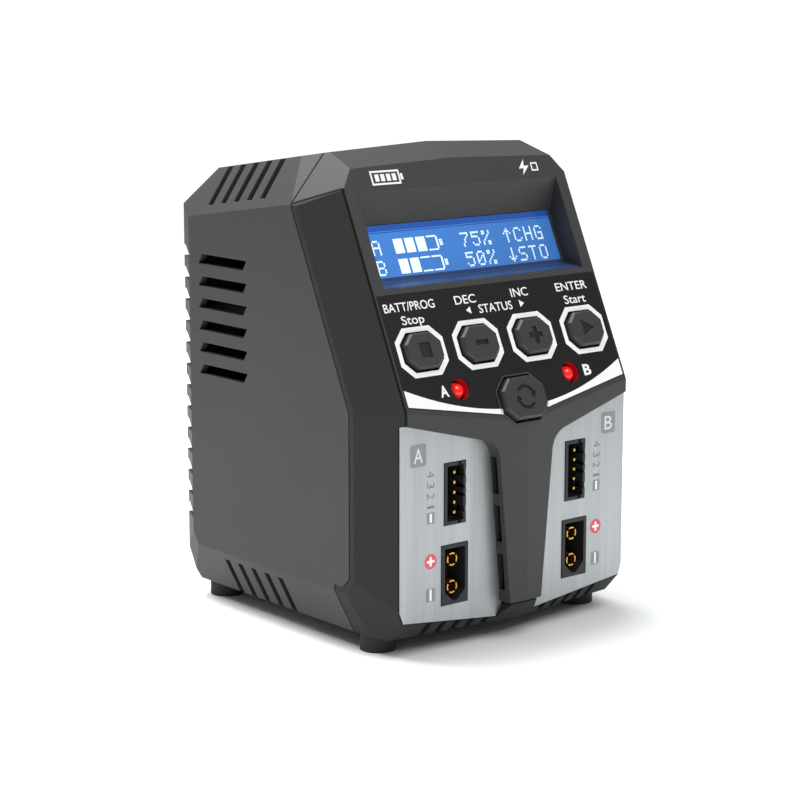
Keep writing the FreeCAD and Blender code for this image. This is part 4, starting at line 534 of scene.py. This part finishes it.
PRINT_COLUMN, LETTER_COLUMN, LETTER_ROW, LETTER_CAP = 29.4, 33.6, 53.1, 3.8
TOP_DIGIT_ROW, DIGIT_PITCH, DIGIT_CAP = 47.7, 2.85, 2.5
HEADER_MINUS_ROW, OUTPUT_MINUS_ROW, OUTPUT_PLUS_ROW, OVERPRINT = 36.3, 16.05, 24.9, 0.06
for side, letter in ((-1, "a"), (1, "b")):
    column, letter_column = side * PRINT_COLUMN, side * LETTER_COLUMN
    print_shapes(f"plate_boxes_{letter}", [rounded(letter_column, LETTER_ROW, 5.2, 5.9, 0.7)],
                 plate_plane, plate_grey, record_slot="brushed_plate")
    lettering(f"plate_letter_{letter}", letter.upper(), letter_column - 1.45, letter_column + 1.45,
              LETTER_ROW - LETTER_CAP / 2, LETTER_CAP, plate_plane, letter_grey, height=OVERPRINT)
    for i, (digit, half) in enumerate((("4", 0.85), ("3", 0.8), ("2", 0.8), ("1", 0.3))):
        row = TOP_DIGIT_ROW - i * DIGIT_PITCH
        lettering(f"plate_digit_{digit}_{letter}", digit, column - half, column + half, row - DIGIT_CAP / 2,
                  DIGIT_CAP, plate_plane, digit_grey, turn=-math.pi / 2, weight=-0.012)
    print_shapes(f"plate_minus_boxes_{letter}",
                 [oblong(column, HEADER_MINUS_ROW, 2.5, 3.0), oblong(column, OUTPUT_MINUS_ROW, 3.0, 3.5)],
                 plate_plane, plate_grey, record_slot="brushed_plate")
    print_shapes(f"plate_minus_bars_{letter}",
                 [oblong(column, HEADER_MINUS_ROW, 0.7, 2.3), oblong(column, OUTPUT_MINUS_ROW, 0.7, 3.0)],
                 plate_plane, white_ink, height=OVERPRINT)
    print_shapes(f"plate_plus_disc_{letter}", [circle(column, OUTPUT_PLUS_ROW, 2.0)], plate_plane, plate_red,
                 record_slot="brushed_plate")
    print_shapes(f"plate_plus_{letter}",
                 [oblong(column, OUTPUT_PLUS_ROW, 0.7, 2.5), oblong(column - 0.8, OUTPUT_PLUS_ROW, 0.9, 0.7),
                  oblong(column + 0.8, OUTPUT_PLUS_ROW, 0.9, 0.7)], plate_plane, white_ink, height=OVERPRINT)

# ---- Sockets
# The balance headers and the output sockets are moulded in dark grey nylon and soldered to the output
# board. They stand in close-fitting windows in the plates.
# Moulded nylon: a dark grey with a low soft gloss.
socket_nylon = moulded("nylon_moulded_dark_grey", "#242527", grain=0.3, depth=0.01, roughness=0.45, edge=0.1)
dress(socket_nylon, "balance_header_a", "balance_header_b", "output_socket_a", "output_socket_b")
# Black nylon: the same, nearly black, for the parts of the switches and the inlet.
black_nylon = moulded("nylon_moulded_black", "#1B1B1C", grain=0.3, depth=0.01, roughness=0.4, edge=0.1)
dress(black_nylon, "mains_inlet", "key_switches", "power_transistors",
      *[f"{key}_plunger" for key in ("stop", "minus", "plus", "start", "cycle")])

# ---- Contacts
# The balance pins and the slit tubes of the outputs are drawn or turned from brass, with a flash of gold
# over it. The screws, the pins of the inlet and the other metal parts are finished here as well.


def plated(name, shade, roughness, streak):
    """A bare or plated metal with fine drawing marks, streak millimetres apart."""
    material, out = start_material(name)
    place = add(material, "ShaderNodeTexCoord")
    marks = add(material, "ShaderNodeTexNoise", [("Vector", place, "Object")], scale=1 / (streak * MM),
                detail=2.0)
    gloss = add(material, "ShaderNodeMapRange", [("Value", marks, "Fac")], to_min=roughness - 0.08,
                to_max=roughness + 0.10)
    relief = add(material, "ShaderNodeBump", [("Height", marks, "Fac")], strength=0.2, distance=0.01 * MM)
    shader = add(material, "ShaderNodeBsdfPrincipled",
                 [("Roughness", gloss, "Result"), ("Normal", relief, "Normal")],
                 base_color=colour(shade), metallic=1.0)
    connect(material, shader, "BSDF", out, "Surface")
    return material


# Gold flash: warm yellow and bright, with soft drawing marks.
dress(plated("brass_gold_flashed", "#C79A4A", 0.30, 0.4), "balance_pins_a", "balance_pins_b",
      "output_contacts_a", "output_contacts_b")
# Tin plate: a cool soft shine.
dress(plated("steel_tin_plated", "#B8BABC", 0.35, 0.6), "inlet_pins", "lcd_bezel")
# Blackened steel: dark screws with a dull oily shine.
dress(plated("steel_black_zinc", "#3A3A3C", 0.38, 0.5), "casing_screws", "fan_screws", "board_screws",
      "fascia_screws", "output_board_screws")
# Plain aluminium: pale grey, with the lines of extrusion.
dress(plated("aluminium_extruded", "#A9ABAD", 0.40, 0.5), "heatsink")

# ---- Boards and what stands on them
# Four boards of glass fibre under green solder mask carry the display, the keys, the sockets and the
# supply with its transformer, chokes and capacitors. They only show through the air slots.


def dipped(name, shade, roughness, swirl):
    """A coated or plain part whose tone changes slowly, over swirl millimetres."""
    material, out = start_material(name)
    place = add(material, "ShaderNodeTexCoord")
    cloud = add(material, "ShaderNodeTexNoise", [("Vector", place, "Object")], scale=1 / (swirl * MM),
                detail=3.0)
    tone = add(material, "ShaderNodeMapRange", [("Value", cloud, "Fac")], to_min=0.8, to_max=1.2)
    base = add(material, "ShaderNodeHueSaturation", [("Value", tone, "Result")], color=colour(shade))
    relief = add(material, "ShaderNodeBump", [("Height", cloud, "Fac")], strength=0.2, distance=0.03 * MM)
    shader = add(material, "ShaderNodeBsdfPrincipled",
                 [("Base Color", base, "Color"), ("Normal", relief, "Normal")], roughness=roughness)
    connect(material, shader, "BSDF", out, "Surface")
    return material


# Solder mask: glossy dark green.
dress(dipped("glass_fibre_green_mask", "#1E5A34", 0.3, 3.0), "lcd_board", "key_board", "output_board",
      "power_board")
# Ferrite: dull dark grey, like slate.
dress(dipped("ferrite_pressed_grey", "#3B3B3D", 0.7, 1.5), "transformer_core", "output_chokes")
# Polyester tape: glossy yellow, wound over copper.
dress(dipped("polyester_tape_yellow", "#C79A22", 0.3, 4.0), "transformer_winding")
# Shrunk sleeve: glossy near-black vinyl.
dress(dipped("vinyl_sleeve_black", "#1D1D24", 0.28, 4.0), "bulk_capacitors")
# Liquid crystal glass, out of sight behind the window.
dress(dipped("glass_liquid_crystal", "#1C3F8C", 0.1, 6.0), "lcd_panel")

# ---- Fan
# A square axial fan blows out through the slots of the rear wall, held by four screws. Frame and rotor are
# moulded in polyester with glass fibre.
# Glass-filled polyester: nearly black and dull.
fan_polyester = moulded("polyester_glass_filled_black", "#1A1A1B", grain=0.3, depth=0.02, roughness=0.5)
dress(fan_polyester, "fan_frame", "fan_rotor")

# ---- Feet and label
# Four feet of moulded rubber plug into holes in the base. A blank label of silver polyester film is stuck
# between them.
# Moulded rubber: black and quite dull.
dress(dipped("rubber_moulded_black", "#262627", 0.75, 0.8), "rubber_feet")
# Polyester film: a flat silver grey.
dress(dipped("polyester_label_silver", "#B4B6B7", 0.45, 8.0), "rating_label")

# ---- Studio
# The charger stands on a round sheet of white paper before a white backdrop. One large soft lamp hangs above
# and behind it, and a weaker one above the front. The camera looks down on the front left corner.
FLOOR_RADIUS, FLOOR_SIDES = 0.7, 64
floor_mesh = bpy.data.meshes.new("floor")
rim = [(x, y, 0) for x, y in circle(0, 0, FLOOR_RADIUS, FLOOR_SIDES)]
floor_mesh.from_pydata(rim, [], [tuple(range(FLOOR_SIDES))])
# White paper: pale and fully matt.
floor_paper, floor_out = start_material("paper_floor_white")
paper_shader = add(floor_paper, "ShaderNodeBsdfPrincipled", base_color=colour("#F7F9FA"), roughness=0.9)
connect(floor_paper, paper_shader, "BSDF", floor_out, "Surface")
floor_mesh.materials.append(floor_paper)
floor = bpy.data.objects.new("floor", floor_mesh)
bpy.context.scene.collection.objects.link(floor)

# the backdrop gives the charger less light than the camera sees of it, so that the dark faces stay dark
LIGHT_GIVEN, LIGHT_SEEN = 0.27, 1.05
world = bpy.data.worlds.new("studio")
world.use_nodes = True
sky_tree = world.node_tree
backdrop = sky_tree.nodes["Background"]
backdrop.inputs["Color"].default_value = colour("#FFFFFF")
seen = sky_tree.nodes.new("ShaderNodeLightPath")
level = sky_tree.nodes.new("ShaderNodeMapRange")
level.inputs["To Min"].default_value = LIGHT_GIVEN
level.inputs["To Max"].default_value = LIGHT_SEEN
sky_tree.links.new(seen.outputs["Is Camera Ray"], level.inputs["Value"])
sky_tree.links.new(level.outputs["Result"], backdrop.inputs["Strength"])
bpy.context.scene.world = world
bpy.context.scene.view_settings.view_transform = "Standard"

AIM = Vector((0, 0, 0.06))
for name, spot, size, watts in (
    ("overhead", (-0.15, 0.45, 1.10), 0.9, 25.0),
    ("front_top", (0.10, -0.65, 1.00), 0.7, 7.0),
):
    lamp = bpy.data.lights.new(name, "AREA")
    lamp.size = size
    lamp.energy = watts
    holder = bpy.data.objects.new(name, lamp)
    holder.location = spot
    holder.rotation_euler = (AIM - Vector(spot)).to_track_quat("-Z", "Y").to_euler()
    bpy.context.scene.collection.objects.link(holder)

LOOK_DOWN, LOOK_RIGHT = 10.68, 39.64
camera = bpy.data.cameras.new("camera")
camera.lens = 102.2
camera.sensor_width = 36.0
camera.clip_start = 0.01
viewer = bpy.data.objects.new("camera", camera)
viewer.location = (-0.3897, -0.4636, 0.1726)
viewer.rotation_euler = (math.radians(90 - LOOK_DOWN), 0, math.radians(-LOOK_RIGHT))
bpy.context.scene.collection.objects.link(viewer)
bpy.context.scene.camera = viewer
